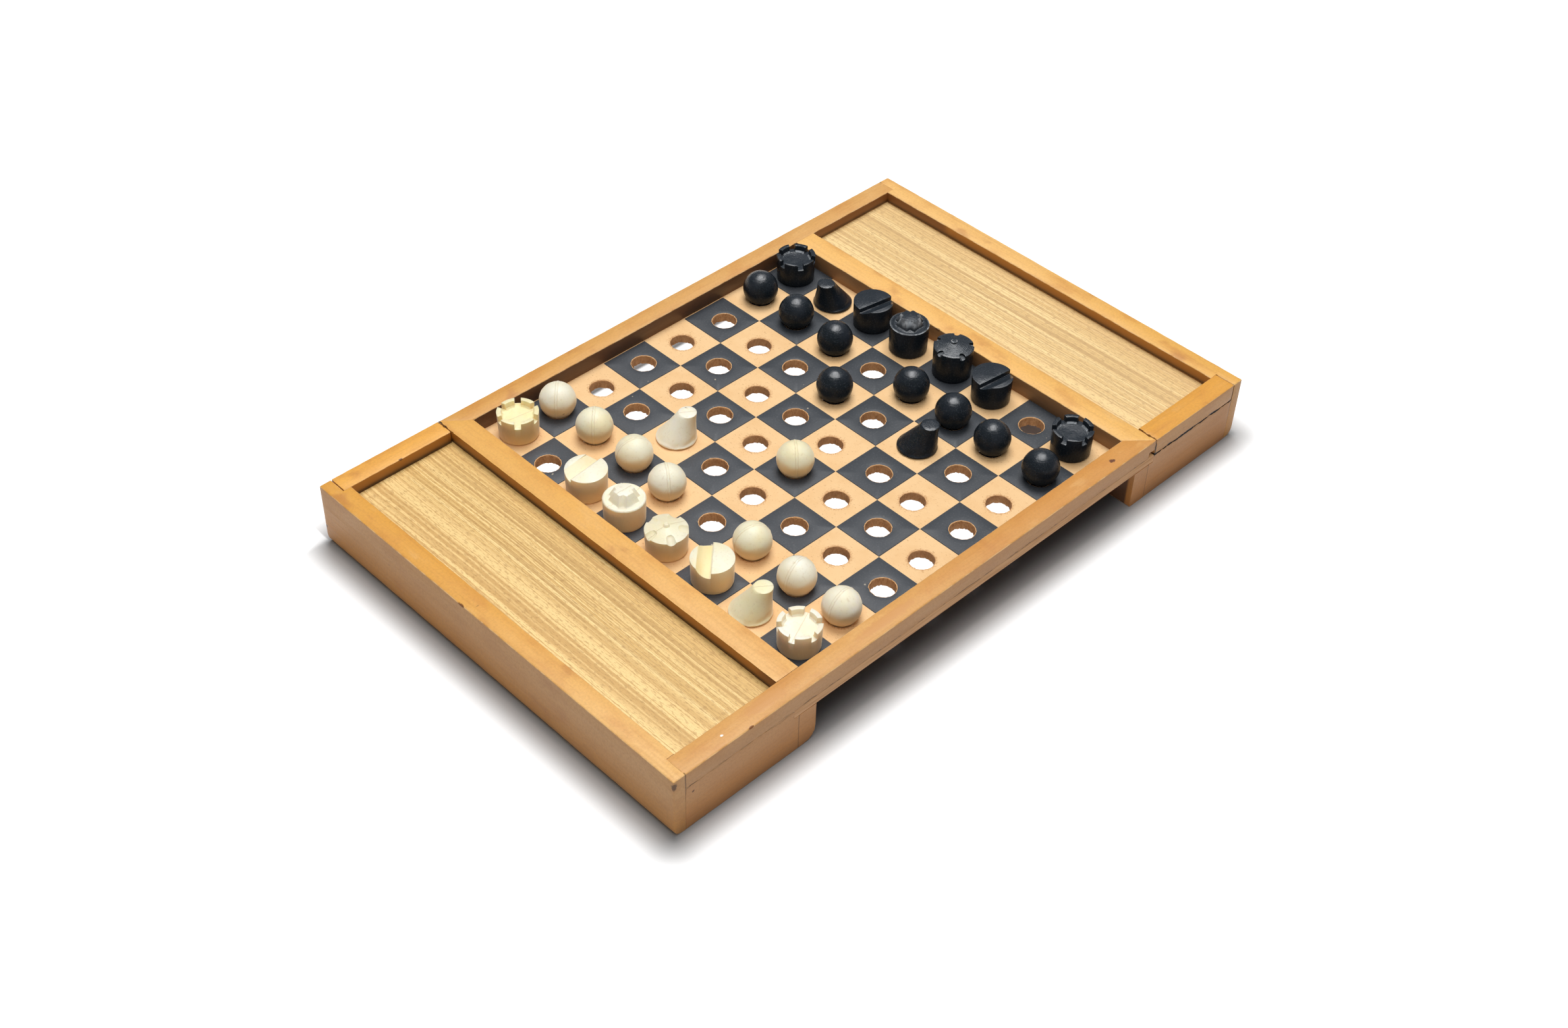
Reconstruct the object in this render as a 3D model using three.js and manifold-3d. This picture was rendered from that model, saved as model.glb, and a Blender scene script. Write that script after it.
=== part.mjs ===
import * as THREE from 'three';
import { mergeVertices } from 'three/addons/utils/BufferGeometryUtils.js';
import Module from 'manifold-3d';

// Travel chess set with pegged men on a pierced board between two storage boxes.
// Millimetres, +Z up. The origin lies on the table under the middle of the set.
// +X points from white's end to black's end, +Y from the near rail to the far rail.

// Board
const squareSize = 18;
const squaresPerSide = 8;
const boardBorder = 8;
const boardThickness = 3.2;
const boardTopZ = 17;
const fieldShiftY = 1;
const holeDiameter = 8;

// Frame round the board
const railHeight = 6;
const nearRailWidth = 7.5;
const farRailWidth = 6.8;
const crossRailWidth = 8.5;

// Storage boxes
const boxLength = 45;
const endWallThickness = 7;
const endWallLap = 2.8;
const endWallRounding = 3.5;
const crossWallThickness = 7;
const crossWallSetback = 2;
const whiteBoxRounding = 5;
const blackBoxRounding = 0.6;
const floorThickness = 2.5;
const floorInset = 1;

// Sliding lids
const lidThickness = 1.4;
const lidClearance = 0.2;
const grooveDepth = 2.5;
const stripOverlap = 4;
const stripEndGap = 0.25;

// Men
const pegDiameter = 7.2;
const pegLength = 6.5;
const baseDiameter = 12.9;
const crownDiameter = 13.4;
const baseChamfer = 0.5;
const whiteCastleHeight = 9.2;
const blackCastleHeight = 9.5;
const ballDiameter = 12;
const ballSeatGap = 0.2;
const crenelDepth = 2.2;
const crenelWidth = 1.9;
const rookWellDiameter = 9.8;
const mitreStepOffset = 1.2;
const mitreWidth = 3.6;
const mitreDepth = 1.6;
const whiteQueenRimHeight = 9.2;
const blackQueenRimHeight = 10.5;
const coronetHeight = 3.1;
const coronetBaseRadius = 4.8;
const coronetTopRadius = 3.2;
const coronetBaseNotch = 0.3;
const coronetTopNotch = 0.9;
const whiteKingRimHeight = 8;
const blackKingRimHeight = 11.2;
const kingConeRise = 1.4;
const kingPipDiameter = 1.9;
const kingPipHeight = 0.8;
const kingNotchRadius = 1.5;
const kingNotchReach = 4.6;
const knightHeight = 10;
const knightBaseDiameter = 13.2;
const knightTopDiameter = 6.2;
const knightLean = 3.6;
const knightFoot = 1;

// Facets and cuts
const cutOverrun = 1;
const joinOverlap = 0.3;
const holeFacets = 12;
const manFacets = 32;
const ballFacets = 20;
const arcFacets = 4;
const crenelCount = 6;
const coronetPoints = 6;
const kingNotchCount = 5;

// Sizes worked out from those above
const fieldSize = squareSize * squaresPerSide;
const halfBoard = fieldSize / 2 + boardBorder;
const halfLength = halfBoard + boxLength;
const boardBottomZ = boardTopZ - boardThickness;
const railTopZ = boardTopZ + railHeight;
const wallInnerX = halfLength - endWallThickness;
const lapX = halfLength - endWallThickness + endWallLap;
const crossWallOuterX = halfBoard - crossWallSetback;
const crossWallInnerX = crossWallOuterX - crossWallThickness;
const crossRailInnerX = halfBoard - crossRailWidth;
const grooveHeight = lidThickness + 2 * lidClearance;
const grooveTopZ = boardTopZ + grooveHeight;
const grooveInnerX = halfBoard - grooveDepth;
const grooveOuterX = wallInnerX + grooveDepth;
const shortSideTopZ = boardTopZ - 2 * lidClearance;

// Where each hole was drilled away from the middle of its square, along X then along Y,
// as shares of the square: one row for each rank from white's end, files from the far rail.
const driftShares = [
  [[0.12, 0], [-0.03, 0.03], [0.01, 0.03], [0.01, 0.05], [0.05, 0.04], [0.09, -0.03], [0.05, 0.02], [0.1, -0.04]],
  [[0.02, 0.01], [0.04, 0.03], [0.06, 0], [-0.02, 0.06], [0.04, 0], [0.04, 0.02], [-0.01, -0.08], [0.03, -0.06]],
  [[0.01, -0.02], [0.03, 0.05], [0.08, 0.04], [0.04, 0], [0.01, 0.02], [-0.01, -0.02], [0, 0], [0.02, -0.05]],
  [[0.04, 0], [0.03, -0.05], [0.06, -0.03], [-0.01, -0.02], [0, 0], [-0.01, -0.02], [0, 0], [-0.03, -0.03]],
  [[-0.01, -0.01], [0, 0.01], [-0.03, -0.04], [0.02, 0.02], [-0.06, 0.06], [0.01, -0.06], [-0.08, 0.06], [0, -0.01]],
  [[0.01, -0.06], [-0.03, -0.05], [0, 0.03], [-0.05, -0.03], [-0.02, 0.02], [0.03, -0.01], [0.02, 0.01], [-0.05, 0.01]],
  [[0, -0.01], [-0.03, -0.01], [-0.07, -0.07], [0, 0], [-0.02, 0.04], [-0.02, 0.02], [-0.06, 0.06], [-0.03, -0.03]],
  [[-0.02, 0.03], [-0.07, -0.03], [0.01, 0], [-0.04, 0.03], [0.02, -0.01], [-0.01, 0.01], [-0.05, -0.01], [-0.07, 0.08]],
];

// The men: name, kind, square and turn in degrees about the peg. Squares are a to h from the far
// rail and 1 to 8 from white's end.
const whiteMen = [
  ['white_rook_1', 'rook', 'a1', -12],
  ['white_bishop_1', 'bishop', 'c1', 6],
  ['white_queen', 'queen', 'd1', 7],
  ['white_king', 'king', 'e1', 26],
  ['white_bishop_2', 'bishop', 'f1', 44],
  ['white_knight_1', 'knight', 'g1', -37],
  ['white_rook_2', 'rook', 'h1', 30],
  ['white_knight_2', 'knight', 'c3', -32],
  ['white_pawn_1', 'pawn', 'a2', 45],
  ['white_pawn_2', 'pawn', 'b2', 45],
  ['white_pawn_3', 'pawn', 'c2', -20],
  ['white_pawn_4', 'pawn', 'd2', 55],
  ['white_pawn_5', 'pawn', 'e4', 50],
  ['white_pawn_6', 'pawn', 'f2', -20],
  ['white_pawn_7', 'pawn', 'g2', 10],
  ['white_pawn_8', 'pawn', 'h2', 5],
];
const blackMen = [
  ['black_rook_1', 'rook', 'a8', 0],
  ['black_knight_1', 'knight', 'b8', 179],
  ['black_bishop_1', 'bishop', 'c8', 170],
  ['black_queen', 'queen', 'd8', 0],
  ['black_king', 'king', 'e8', 33],
  ['black_bishop_2', 'bishop', 'f8', 173],
  ['black_knight_2', 'knight', 'f6', -60],
  ['black_rook_2', 'rook', 'h8', 14],
  ['black_pawn_1', 'pawn', 'a7', 0],
  ['black_pawn_2', 'pawn', 'b7', 0],
  ['black_pawn_3', 'pawn', 'c7', 0],
  ['black_pawn_4', 'pawn', 'd6', 0],
  ['black_pawn_5', 'pawn', 'e7', 0],
  ['black_pawn_6', 'pawn', 'f7', 0],
  ['black_pawn_7', 'pawn', 'g7', 0],
  ['black_pawn_8', 'pawn', 'h7', 0],
];

const wasm = await Module();
wasm.setup();

// Solids and geometries
function toSolid(geometry) {
  const plain = geometry.clone();
  plain.deleteAttribute('normal');
  plain.deleteAttribute('uv');
  const merged = mergeVertices(plain);
  const mesh = new wasm.Mesh({
    numProp: 3,
    vertProperties: merged.attributes.position.array,
    triVerts: new Uint32Array(merged.index.array),
  });
  return new wasm.Manifold(mesh);
}

function toGeometry(solid) {
  const mesh = solid.getMesh();
  const geometry = new THREE.BufferGeometry();
  geometry.setAttribute('position', new THREE.BufferAttribute(mesh.vertProperties, 3));
  geometry.setIndex(new THREE.BufferAttribute(mesh.triVerts, 1));
  geometry.computeVertexNormals();
  return geometry;
}

function cut(geometry, tools) {
  let solid = toSolid(geometry);
  for (const tool of tools) solid = solid.subtract(toSolid(tool));
  return toGeometry(solid);
}

function join(geometry, others) {
  let solid = toSolid(geometry);
  for (const other of others) solid = solid.add(toSolid(other));
  return toGeometry(solid);
}

// A block between two corners given in any order.
function block(x0, x1, y0, y1, z0, z1) {
  const geometry = new THREE.BoxGeometry(Math.abs(x1 - x0), Math.abs(y1 - y0), Math.abs(z1 - z0));
  geometry.translate((x0 + x1) / 2, (y0 + y1) / 2, (z0 + z1) / 2);
  return geometry;
}

// An upright prism over an outline in X and Y.
function prism(points, z0, z1) {
  const shape = new THREE.Shape(points.map(([x, y]) => new THREE.Vector2(x, y)));
  const geometry = new THREE.ExtrudeGeometry(shape, { depth: z1 - z0, bevelEnabled: false });
  geometry.translate(0, 0, z0);
  return geometry;
}

// A bar along Y whose section is a shape in X and Z.
function barAlongY(shape, y0, y1) {
  const low = Math.min(y0, y1);
  const high = Math.max(y0, y1);
  const options = { depth: high - low, bevelEnabled: false, curveSegments: arcFacets };
  const geometry = new THREE.ExtrudeGeometry(shape, options);
  geometry.rotateX(Math.PI / 2);
  geometry.translate(0, high, 0);
  return geometry;
}

function lathe(points, facets) {
  const profile = points.map(([r, z]) => new THREE.Vector2(r, z));
  const geometry = new THREE.LatheGeometry(profile, facets);
  geometry.rotateX(Math.PI / 2);
  return geometry;
}

// A skin over closed rings of equal point counts, stacked from the lowest up.
function loft(rings) {
  const count = rings[0].length;
  const positions = rings.flat(2);
  const indices = [];
  for (let level = 0; level + 1 < rings.length; level++) {
    for (let i = 0; i < count; i++) {
      const a = level * count + i;
      const b = level * count + ((i + 1) % count);
      indices.push(a, b, b + count, a, b + count, a + count);
    }
  }
  const top = (rings.length - 1) * count;
  for (let i = 1; i + 1 < count; i++) {
    indices.push(0, i + 1, i);
    indices.push(top, top + i, top + i + 1);
  }
  const geometry = new THREE.BufferGeometry();
  geometry.setAttribute('position', new THREE.Float32BufferAttribute(positions, 3));
  geometry.setIndex(indices);
  return geometry;
}

function ring(radius, z, shiftX, facets) {
  const points = [];
  for (let i = 0; i < facets; i++) {
    const angle = (2 * Math.PI * i) / facets;
    points.push([shiftX + radius * Math.cos(angle), radius * Math.sin(angle), z]);
  }
  return points;
}

// Materials
function finish(color, roughness) {
  return new THREE.MeshStandardMaterial({ color, roughness, metalness: 0 });
}

const looks = {
  board: () => finish(0xd9a86c, 0.8),
  frame: () => finish(0xdca04f, 0.45),
  veneer: () => finish(0xdfc48c, 0.5),
  white: () => finish(0xe9e0c4, 0.5),
  black: () => finish(0x1d2024, 0.45),
};

const set = new THREE.Group();

function place(name, geometry, look) {
  const mesh = new THREE.Mesh(geometry, looks[look]());
  mesh.name = name;
  set.add(mesh);
  return mesh;
}

// The width and the inner face of the side at sign -1, near, or 1, far.
function sideWidth(side) {
  return side < 0 ? nearRailWidth : farRailWidth;
}

function sideInnerY(side) {
  return side * (halfBoard - sideWidth(side));
}

// Board
function holeCentre(rank, file) {
  const middle = (squaresPerSide - 1) / 2;
  const [alongShare, acrossShare] = driftShares[rank][file];
  const x = (rank - middle + alongShare) * squareSize;
  const y = (middle - file + acrossShare) * squareSize + fieldShiftY;
  return [x, y];
}

function makeBoard() {
  const sheet = block(-halfBoard, halfBoard, -halfBoard, halfBoard, boardBottomZ, boardTopZ);
  const drills = [];
  for (let rank = 0; rank < squaresPerSide; rank++) {
    for (let file = 0; file < squaresPerSide; file++) {
      const [x, y] = holeCentre(rank, file);
      const length = boardThickness + 2 * cutOverrun;
      const drill = new THREE.CylinderGeometry(holeDiameter / 2, holeDiameter / 2, length, holeFacets);
      drill.rotateX(Math.PI / 2);
      drill.translate(x, y, (boardTopZ + boardBottomZ) / 2);
      drills.push(drill);
    }
  }
  place('playing_board', cut(sheet, drills), 'board');
}

// The way that a lid slides along, open at its strip's end. End -1 is white's, 1 is black's.
function lidWay(end) {
  const closedY = sideInnerY(end) + end * grooveDepth;
  const openY = -end * (halfBoard + cutOverrun);
  return block(end * grooveInnerX, end * grooveOuterX, closedY, openY, boardTopZ, grooveTopZ);
}

// Rails on the board's sides, each running on over one box and mitred at its other end.
function makeSideRail(name, side) {
  const outerY = side * halfBoard;
  const innerY = sideInnerY(side);
  const outline = [
    [side * lapX, outerY],
    [side * lapX, innerY],
    [-side * crossRailInnerX, innerY],
    [-side * halfBoard, outerY],
  ];
  const rail = prism(outline, boardTopZ, railTopZ);
  place(name, cut(rail, [lidWay(side), lidWay(-side)]), 'frame');
}

// Rails between the field and a box, butted on one side rail and mitred to the other.
function makeCrossRail(name, end) {
  const outline = [
    [end * crossRailInnerX, sideInnerY(end)],
    [end * halfBoard, sideInnerY(end)],
    [end * halfBoard, -end * halfBoard],
    [end * crossRailInnerX, sideInnerY(-end)],
  ];
  const rail = prism(outline, boardTopZ, railTopZ);
  place(name, cut(rail, [lidWay(end)]), 'frame');
}

// Storage boxes
function makeEndWall(name, end) {
  const shape = new THREE.Shape();
  shape.moveTo(end * wallInnerX, 0);
  shape.lineTo(end * wallInnerX, railTopZ);
  shape.lineTo(end * halfLength, railTopZ);
  shape.lineTo(end * halfLength, endWallRounding);
  shape.quadraticCurveTo(end * halfLength, 0, end * (halfLength - endWallRounding), 0);
  const laps = [-1, 1].map((side) => {
    const innerX = end * (wallInnerX - cutOverrun);
    const outerY = side * (halfBoard + cutOverrun);
    return block(innerX, end * lapX, sideInnerY(side), outerY, -cutOverrun, railTopZ + cutOverrun);
  });
  const wall = barAlongY(shape, -halfBoard, halfBoard);
  place(name, cut(wall, [...laps, lidWay(end)]), 'frame');
}

function boxRounding(end) {
  return end < 0 ? whiteBoxRounding : blackBoxRounding;
}

// The box side under the rail, cut down where the board lies on it.
function makeLongSide(name, end) {
  const rounding = boxRounding(end);
  const shape = new THREE.Shape();
  shape.moveTo(end * lapX, 0);
  shape.lineTo(end * lapX, boardTopZ);
  shape.lineTo(end * halfBoard, boardTopZ);
  shape.lineTo(end * halfBoard, boardBottomZ);
  shape.lineTo(end * crossWallInnerX, boardBottomZ);
  shape.lineTo(end * crossWallInnerX, rounding);
  shape.quadraticCurveTo(end * crossWallInnerX, 0, end * (crossWallInnerX + rounding), 0);
  place(name, barAlongY(shape, sideInnerY(end), end * halfBoard), 'frame');
}

// The lower box side, which the lid's strip passes over.
function makeShortSide(name, end) {
  const shape = new THREE.Shape();
  shape.moveTo(end * lapX, 0);
  shape.lineTo(end * lapX, shortSideTopZ);
  shape.lineTo(end * halfBoard, shortSideTopZ);
  shape.lineTo(end * halfBoard, boardBottomZ);
  shape.lineTo(end * crossWallOuterX, boardBottomZ);
  shape.lineTo(end * crossWallOuterX, 0);
  place(name, barAlongY(shape, sideInnerY(-end), -end * halfBoard), 'frame');
}

function makeCrossWall(name, end) {
  const rounding = boxRounding(end);
  const shape = new THREE.Shape();
  shape.moveTo(end * crossWallOuterX, 0);
  shape.lineTo(end * crossWallOuterX, boardBottomZ);
  shape.lineTo(end * crossWallInnerX, boardBottomZ);
  shape.lineTo(end * crossWallInnerX, rounding);
  shape.quadraticCurveTo(end * crossWallInnerX, 0, end * (crossWallInnerX + rounding), 0);
  place(name, barAlongY(shape, sideInnerY(end), -end * halfBoard), 'frame');
}

function makeFloor(name, end) {
  const topZ = floorInset + floorThickness;
  const [y0, y1] = [sideInnerY(-1), sideInnerY(1)];
  place(name, block(end * crossWallOuterX, end * wallInnerX, y0, y1, floorInset, topZ), 'frame');
}

// Lids
function makeLid(panelName, stripName, end) {
  const lowZ = boardTopZ + lidClearance;
  const panelInnerX = end * (grooveInnerX + lidClearance);
  const panelOuterX = end * (grooveOuterX - lidClearance);
  const closedY = sideInnerY(end) + end * (grooveDepth - lidClearance);
  const stripInnerY = sideInnerY(-end);
  const tongueY = stripInnerY - end * stripOverlap;
  const panel = block(panelInnerX, panelOuterX, closedY, tongueY, lowZ, lowZ + lidThickness);
  place(panelName, panel, 'veneer');

  const stripLowZ = shortSideTopZ + lidClearance;
  const stripInnerX = end * (halfBoard + stripEndGap);
  const stripOuterX = end * (lapX - stripEndGap);
  const strip = block(stripInnerX, stripOuterX, stripInnerY, -end * halfBoard, stripLowZ, railTopZ);
  const slotStartY = stripInnerY + end * cutOverrun;
  const slotInnerX = panelInnerX - end * cutOverrun;
  const slotOuterX = panelOuterX + end * cutOverrun;
  const slot = block(slotInnerX, slotOuterX, slotStartY, tongueY, lowZ, lowZ + lidThickness);
  place(stripName, cut(strip, [slot]), 'frame');
}

// Men, each standing on z = 0 with its peg below
const pegProfile = [
  [0, -pegLength],
  [pegDiameter / 2, -pegLength],
];

function bodyProfile(topPoints) {
  return [
    ...pegProfile,
    [pegDiameter / 2, 0],
    [baseDiameter / 2 - baseChamfer, 0],
    [baseDiameter / 2, baseChamfer],
    ...topPoints,
  ];
}

function makePawn() {
  const radius = ballDiameter / 2;
  const seatRadius = holeDiameter / 2;
  const centreZ = Math.sqrt(radius ** 2 - seatRadius ** 2) + ballSeatGap;
  const startAngle = -Math.acos(pegDiameter / 2 / radius);
  const points = [...pegProfile];
  const steps = ballFacets / 2 - 1;
  for (let i = 0; i < steps; i++) {
    const angle = startAngle + ((Math.PI / 2 - startAngle) * i) / steps;
    points.push([radius * Math.cos(angle), centreZ + radius * Math.sin(angle)]);
  }
  points.push([0, centreZ + radius]);
  return lathe(points, ballFacets);
}

function makeRook(heights) {
  const wellZ = heights.castle - crenelDepth;
  const top = [
    [crownDiameter / 2, heights.castle],
    [rookWellDiameter / 2, heights.castle],
    [rookWellDiameter / 2, wellZ],
    [0, wellZ],
  ];
  const body = lathe(bodyProfile(top), manFacets);
  const reach = crownDiameter / 2 + cutOverrun;
  const slots = [];
  for (let i = 0; i < crenelCount / 2; i++) {
    const half = crenelWidth / 2;
    const slot = block(-reach, reach, -half, half, wellZ, heights.castle + cutOverrun);
    slot.rotateZ((2 * Math.PI * i) / crenelCount);
    slots.push(slot);
  }
  return cut(body, slots);
}

// The groove across a bishop's top: an upright step on one side, a hollow slope on the other.
function makeBishop(heights) {
  const rimZ = heights.castle;
  const top = [
    [crownDiameter / 2, rimZ],
    [0, rimZ],
  ];
  const body = lathe(bodyProfile(top), manFacets);
  const floorZ = rimZ - mitreDepth;
  const farX = mitreStepOffset + mitreWidth;
  const shape = new THREE.Shape();
  shape.moveTo(-farX, rimZ + cutOverrun);
  shape.lineTo(-farX, rimZ);
  shape.quadraticCurveTo(-mitreStepOffset - mitreWidth / 2, floorZ, -mitreStepOffset, floorZ);
  shape.lineTo(-mitreStepOffset, rimZ + cutOverrun);
  const reach = crownDiameter / 2 + cutOverrun;
  const groove = barAlongY(shape, -reach, reach);
  groove.rotateZ(-Math.PI / 2);
  return cut(body, [groove]);
}

function starRing(outer, notch, z) {
  const points = [];
  for (let i = 0; i < 2 * coronetPoints; i++) {
    const radius = i % 2 ? outer - notch : outer;
    const angle = (Math.PI * i) / coronetPoints;
    points.push([radius * Math.cos(angle), radius * Math.sin(angle), z]);
  }
  return points;
}

function makeQueen(heights) {
  const rimZ = heights.queenRim;
  const top = [
    [crownDiameter / 2, rimZ],
    [0, rimZ],
  ];
  const body = lathe(bodyProfile(top), manFacets);
  const low = starRing(coronetBaseRadius, coronetBaseNotch, rimZ - joinOverlap);
  const high = starRing(coronetTopRadius, coronetTopNotch, rimZ + coronetHeight);
  return join(body, [loft([low, high])]);
}

function makeKing(heights) {
  const rimZ = heights.kingRim;
  const apexZ = rimZ + kingConeRise;
  const pipRadius = kingPipDiameter / 2;
  const top = [
    [crownDiameter / 2, rimZ],
    [pipRadius, apexZ],
    [pipRadius, apexZ + kingPipHeight],
    [0, apexZ + kingPipHeight],
  ];
  const body = lathe(bodyProfile(top), manFacets);
  const length = crownDiameter / 2 - kingNotchReach + cutOverrun;
  const notches = [];
  for (let i = 0; i < kingNotchCount; i++) {
    const notch = new THREE.CylinderGeometry(kingNotchRadius, kingNotchRadius, length, ballFacets / 2);
    notch.rotateZ(Math.PI / 2);
    notch.translate(kingNotchReach + length / 2, 0, rimZ);
    notch.rotateZ((2 * Math.PI * i) / kingNotchCount);
    notches.push(notch);
  }
  return cut(body, notches);
}

// A cone with an upright side: its small top leans out over the base's edge, along X.
function makeKnight() {
  const foot = ring(knightBaseDiameter / 2 - baseChamfer, 0, 0, manFacets);
  const bulge = ring(knightBaseDiameter / 2, knightFoot, 0, manFacets);
  const top = ring(knightTopDiameter / 2, knightHeight, knightLean, manFacets);
  const body = loft([foot, bulge, top]);
  const pegRadius = pegDiameter / 2;
  const low = ring(pegRadius, -pegLength, 0, ballFacets);
  const high = ring(pegRadius, joinOverlap, 0, ballFacets);
  return join(body, [loft([low, high])]);
}

const makers = {
  pawn: makePawn,
  rook: makeRook,
  bishop: makeBishop,
  queen: makeQueen,
  king: makeKing,
  knight: makeKnight,
};

// The two colours came from different moulds, so their heights differ.
const heightsOf = {
  white: { castle: whiteCastleHeight, queenRim: whiteQueenRimHeight, kingRim: whiteKingRimHeight },
  black: { castle: blackCastleHeight, queenRim: blackQueenRimHeight, kingRim: blackKingRimHeight },
};

const fileLetters = 'abcdefgh';

function placeMen(men, look) {
  for (const [name, kind, square, turnDegrees] of men) {
    const [fileLetter, rankDigit] = square;
    const [x, y] = holeCentre(Number(rankDigit) - 1, fileLetters.indexOf(fileLetter));
    const mesh = place(name, makers[kind](heightsOf[look]), look);
    mesh.position.set(x, y, boardTopZ);
    mesh.rotation.z = THREE.MathUtils.degToRad(turnDegrees);
  }
}

makeBoard();
makeSideRail('near_rail', -1);
makeSideRail('far_rail', 1);
for (const [colour, end] of [['white', -1], ['black', 1]]) {
  makeCrossRail(`cross_rail_${colour}`, end);
  makeEndWall(`end_wall_${colour}`, end);
  makeLongSide(`long_side_${colour}`, end);
  makeShortSide(`short_side_${colour}`, end);
  makeCrossWall(`cross_wall_${colour}`, end);
  makeFloor(`floor_${colour}`, end);
  makeLid(`lid_panel_${colour}`, `lid_strip_${colour}`, end);
}
placeMen(whiteMen, 'white');
placeMen(blackMen, 'black');

export default set;
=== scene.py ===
"""The looks of a travel chess set: pegged men on a pierced board, framed between two boxes."""

import math

import bmesh
import bpy
from mathutils import Matrix, Vector, noise
from mathutils.bvhtree import BVHTree


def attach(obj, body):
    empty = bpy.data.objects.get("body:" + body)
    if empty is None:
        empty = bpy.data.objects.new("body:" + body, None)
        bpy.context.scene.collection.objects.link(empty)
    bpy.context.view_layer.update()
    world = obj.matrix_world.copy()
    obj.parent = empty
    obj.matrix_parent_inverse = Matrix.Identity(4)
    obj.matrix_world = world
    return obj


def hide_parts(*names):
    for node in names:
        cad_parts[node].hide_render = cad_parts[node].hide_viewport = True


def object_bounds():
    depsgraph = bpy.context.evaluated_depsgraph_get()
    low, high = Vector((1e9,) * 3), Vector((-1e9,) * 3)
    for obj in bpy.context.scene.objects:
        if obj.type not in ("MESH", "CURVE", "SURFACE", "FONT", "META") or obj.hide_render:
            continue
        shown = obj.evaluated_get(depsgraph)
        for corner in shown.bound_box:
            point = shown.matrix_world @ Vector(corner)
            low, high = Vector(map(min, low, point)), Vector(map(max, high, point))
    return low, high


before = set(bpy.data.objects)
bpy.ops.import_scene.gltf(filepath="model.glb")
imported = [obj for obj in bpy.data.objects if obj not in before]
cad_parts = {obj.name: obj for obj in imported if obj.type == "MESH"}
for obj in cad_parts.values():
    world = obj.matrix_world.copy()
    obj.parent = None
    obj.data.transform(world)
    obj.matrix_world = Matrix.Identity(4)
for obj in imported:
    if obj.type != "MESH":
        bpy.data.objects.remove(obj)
cad_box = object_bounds()

MM = 0.001
X, Y, Z = 0, 1, 2

# The seed makes the uneven wood and paint come out the same in each run
NOISE_SEED = 5
noise.seed_set(NOISE_SEED)

# Sizes shared with the solids, in millimetres
SQUARE = 18.0
HALF_BOARD = 80.0
BOARD_TOP = 17.0
BOARD_BOTTOM = 13.8
FIELD_SHIFT = 1.0
HOLE_RADIUS = 4.0
PEG_RADIUS = 3.6
PEG_LENGTH = 6.5
BASE_RADIUS = 6.45
CROWN_RADIUS = 6.7
BALL_RADIUS = 6.0
BALL_SEAT_GAP = 0.2
KNIGHT_HEIGHT = 10.0
KNIGHT_LEAN = 3.6
RIMS = {
    "white": {"castle": 9.2, "queen": 9.2, "king": 8.0},
    "black": {"castle": 9.5, "queen": 10.5, "king": 11.2},
}

# Hundredths of a square by which each hole was drilled off its middle, one row for each rank
DRIFT = [
    [(12, 0), (-3, 3), (1, 3), (1, 5), (5, 4), (9, -3), (5, 2), (10, -4)],
    [(2, 1), (4, 3), (6, 0), (-2, 6), (4, 0), (4, 2), (-1, -8), (3, -6)],
    [(1, -2), (3, 5), (8, 4), (4, 0), (1, 2), (-1, -2), (0, 0), (2, -5)],
    [(4, 0), (3, -5), (6, -3), (-1, -2), (0, 0), (-1, -2), (0, 0), (-3, -3)],
    [(-1, -1), (0, 1), (-3, -4), (2, 2), (-6, 6), (1, -6), (-8, 6), (0, -1)],
    [(1, -6), (-3, -5), (0, 3), (-5, -3), (-2, 2), (3, -1), (2, 1), (-5, 1)],
    [(0, -1), (-3, -1), (-7, -7), (0, 0), (-2, 4), (-2, 2), (-6, 6), (-3, -3)],
    [(-2, 3), (-7, -3), (1, 0), (-4, 3), (2, -1), (-1, 1), (-5, -1), (-7, 8)],
]

# Node, kind, rank, file, turn in degrees, and how yellow the plastic is
MEN = [
    ("white_rook_1", "rook", 0, 0, -9, 0.75),
    ("white_bishop_1", "bishop", 0, 2, 6, 0.2),
    ("white_queen", "queen", 0, 3, -1, 0.15),
    ("white_king", "king", 0, 4, 26, 0.35),
    ("white_bishop_2", "bishop", 0, 5, 44, 0.35),
    ("white_knight_1", "knight", 0, 6, -37, 0.6),
    ("white_rook_2", "rook", 0, 7, 24, 0.1),
    ("white_knight_2", "knight", 2, 2, -32, 0.1),
    ("white_pawn_1", "pawn", 1, 0, 45, 0.1),
    ("white_pawn_2", "pawn", 1, 1, 45, 0.4),
    ("white_pawn_3", "pawn", 1, 2, -20, 0.25),
    ("white_pawn_4", "pawn", 1, 3, 55, 0.15),
    ("white_pawn_5", "pawn", 3, 4, 50, 0.45),
    ("white_pawn_6", "pawn", 1, 5, -20, 0.4),
    ("white_pawn_7", "pawn", 1, 6, 10, 0.1),
    ("white_pawn_8", "pawn", 1, 7, 5, 0.1),
    ("black_rook_1", "rook", 7, 0, 0, 0),
    ("black_knight_1", "knight", 7, 1, 179, 0),
    ("black_bishop_1", "bishop", 7, 2, 170, 0),
    ("black_queen", "queen", 7, 3, 0, 0),
    ("black_king", "king", 7, 4, 33, 0),
    ("black_bishop_2", "bishop", 7, 5, 173, 0),
    ("black_knight_2", "knight", 5, 5, -60, 0),
    ("black_rook_2", "rook", 7, 7, 14, 0),
    ("black_pawn_1", "pawn", 6, 0, 0, 0),
    ("black_pawn_2", "pawn", 6, 1, 40, 0),
    ("black_pawn_3", "pawn", 6, 2, 80, 0),
    ("black_pawn_4", "pawn", 5, 3, 120, 0),
    ("black_pawn_5", "pawn", 6, 4, 160, 0),
    ("black_pawn_6", "pawn", 6, 5, 200, 0),
    ("black_pawn_7", "pawn", 6, 6, 240, 0),
    ("black_pawn_8", "pawn", 6, 7, 280, 0),
]


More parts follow.
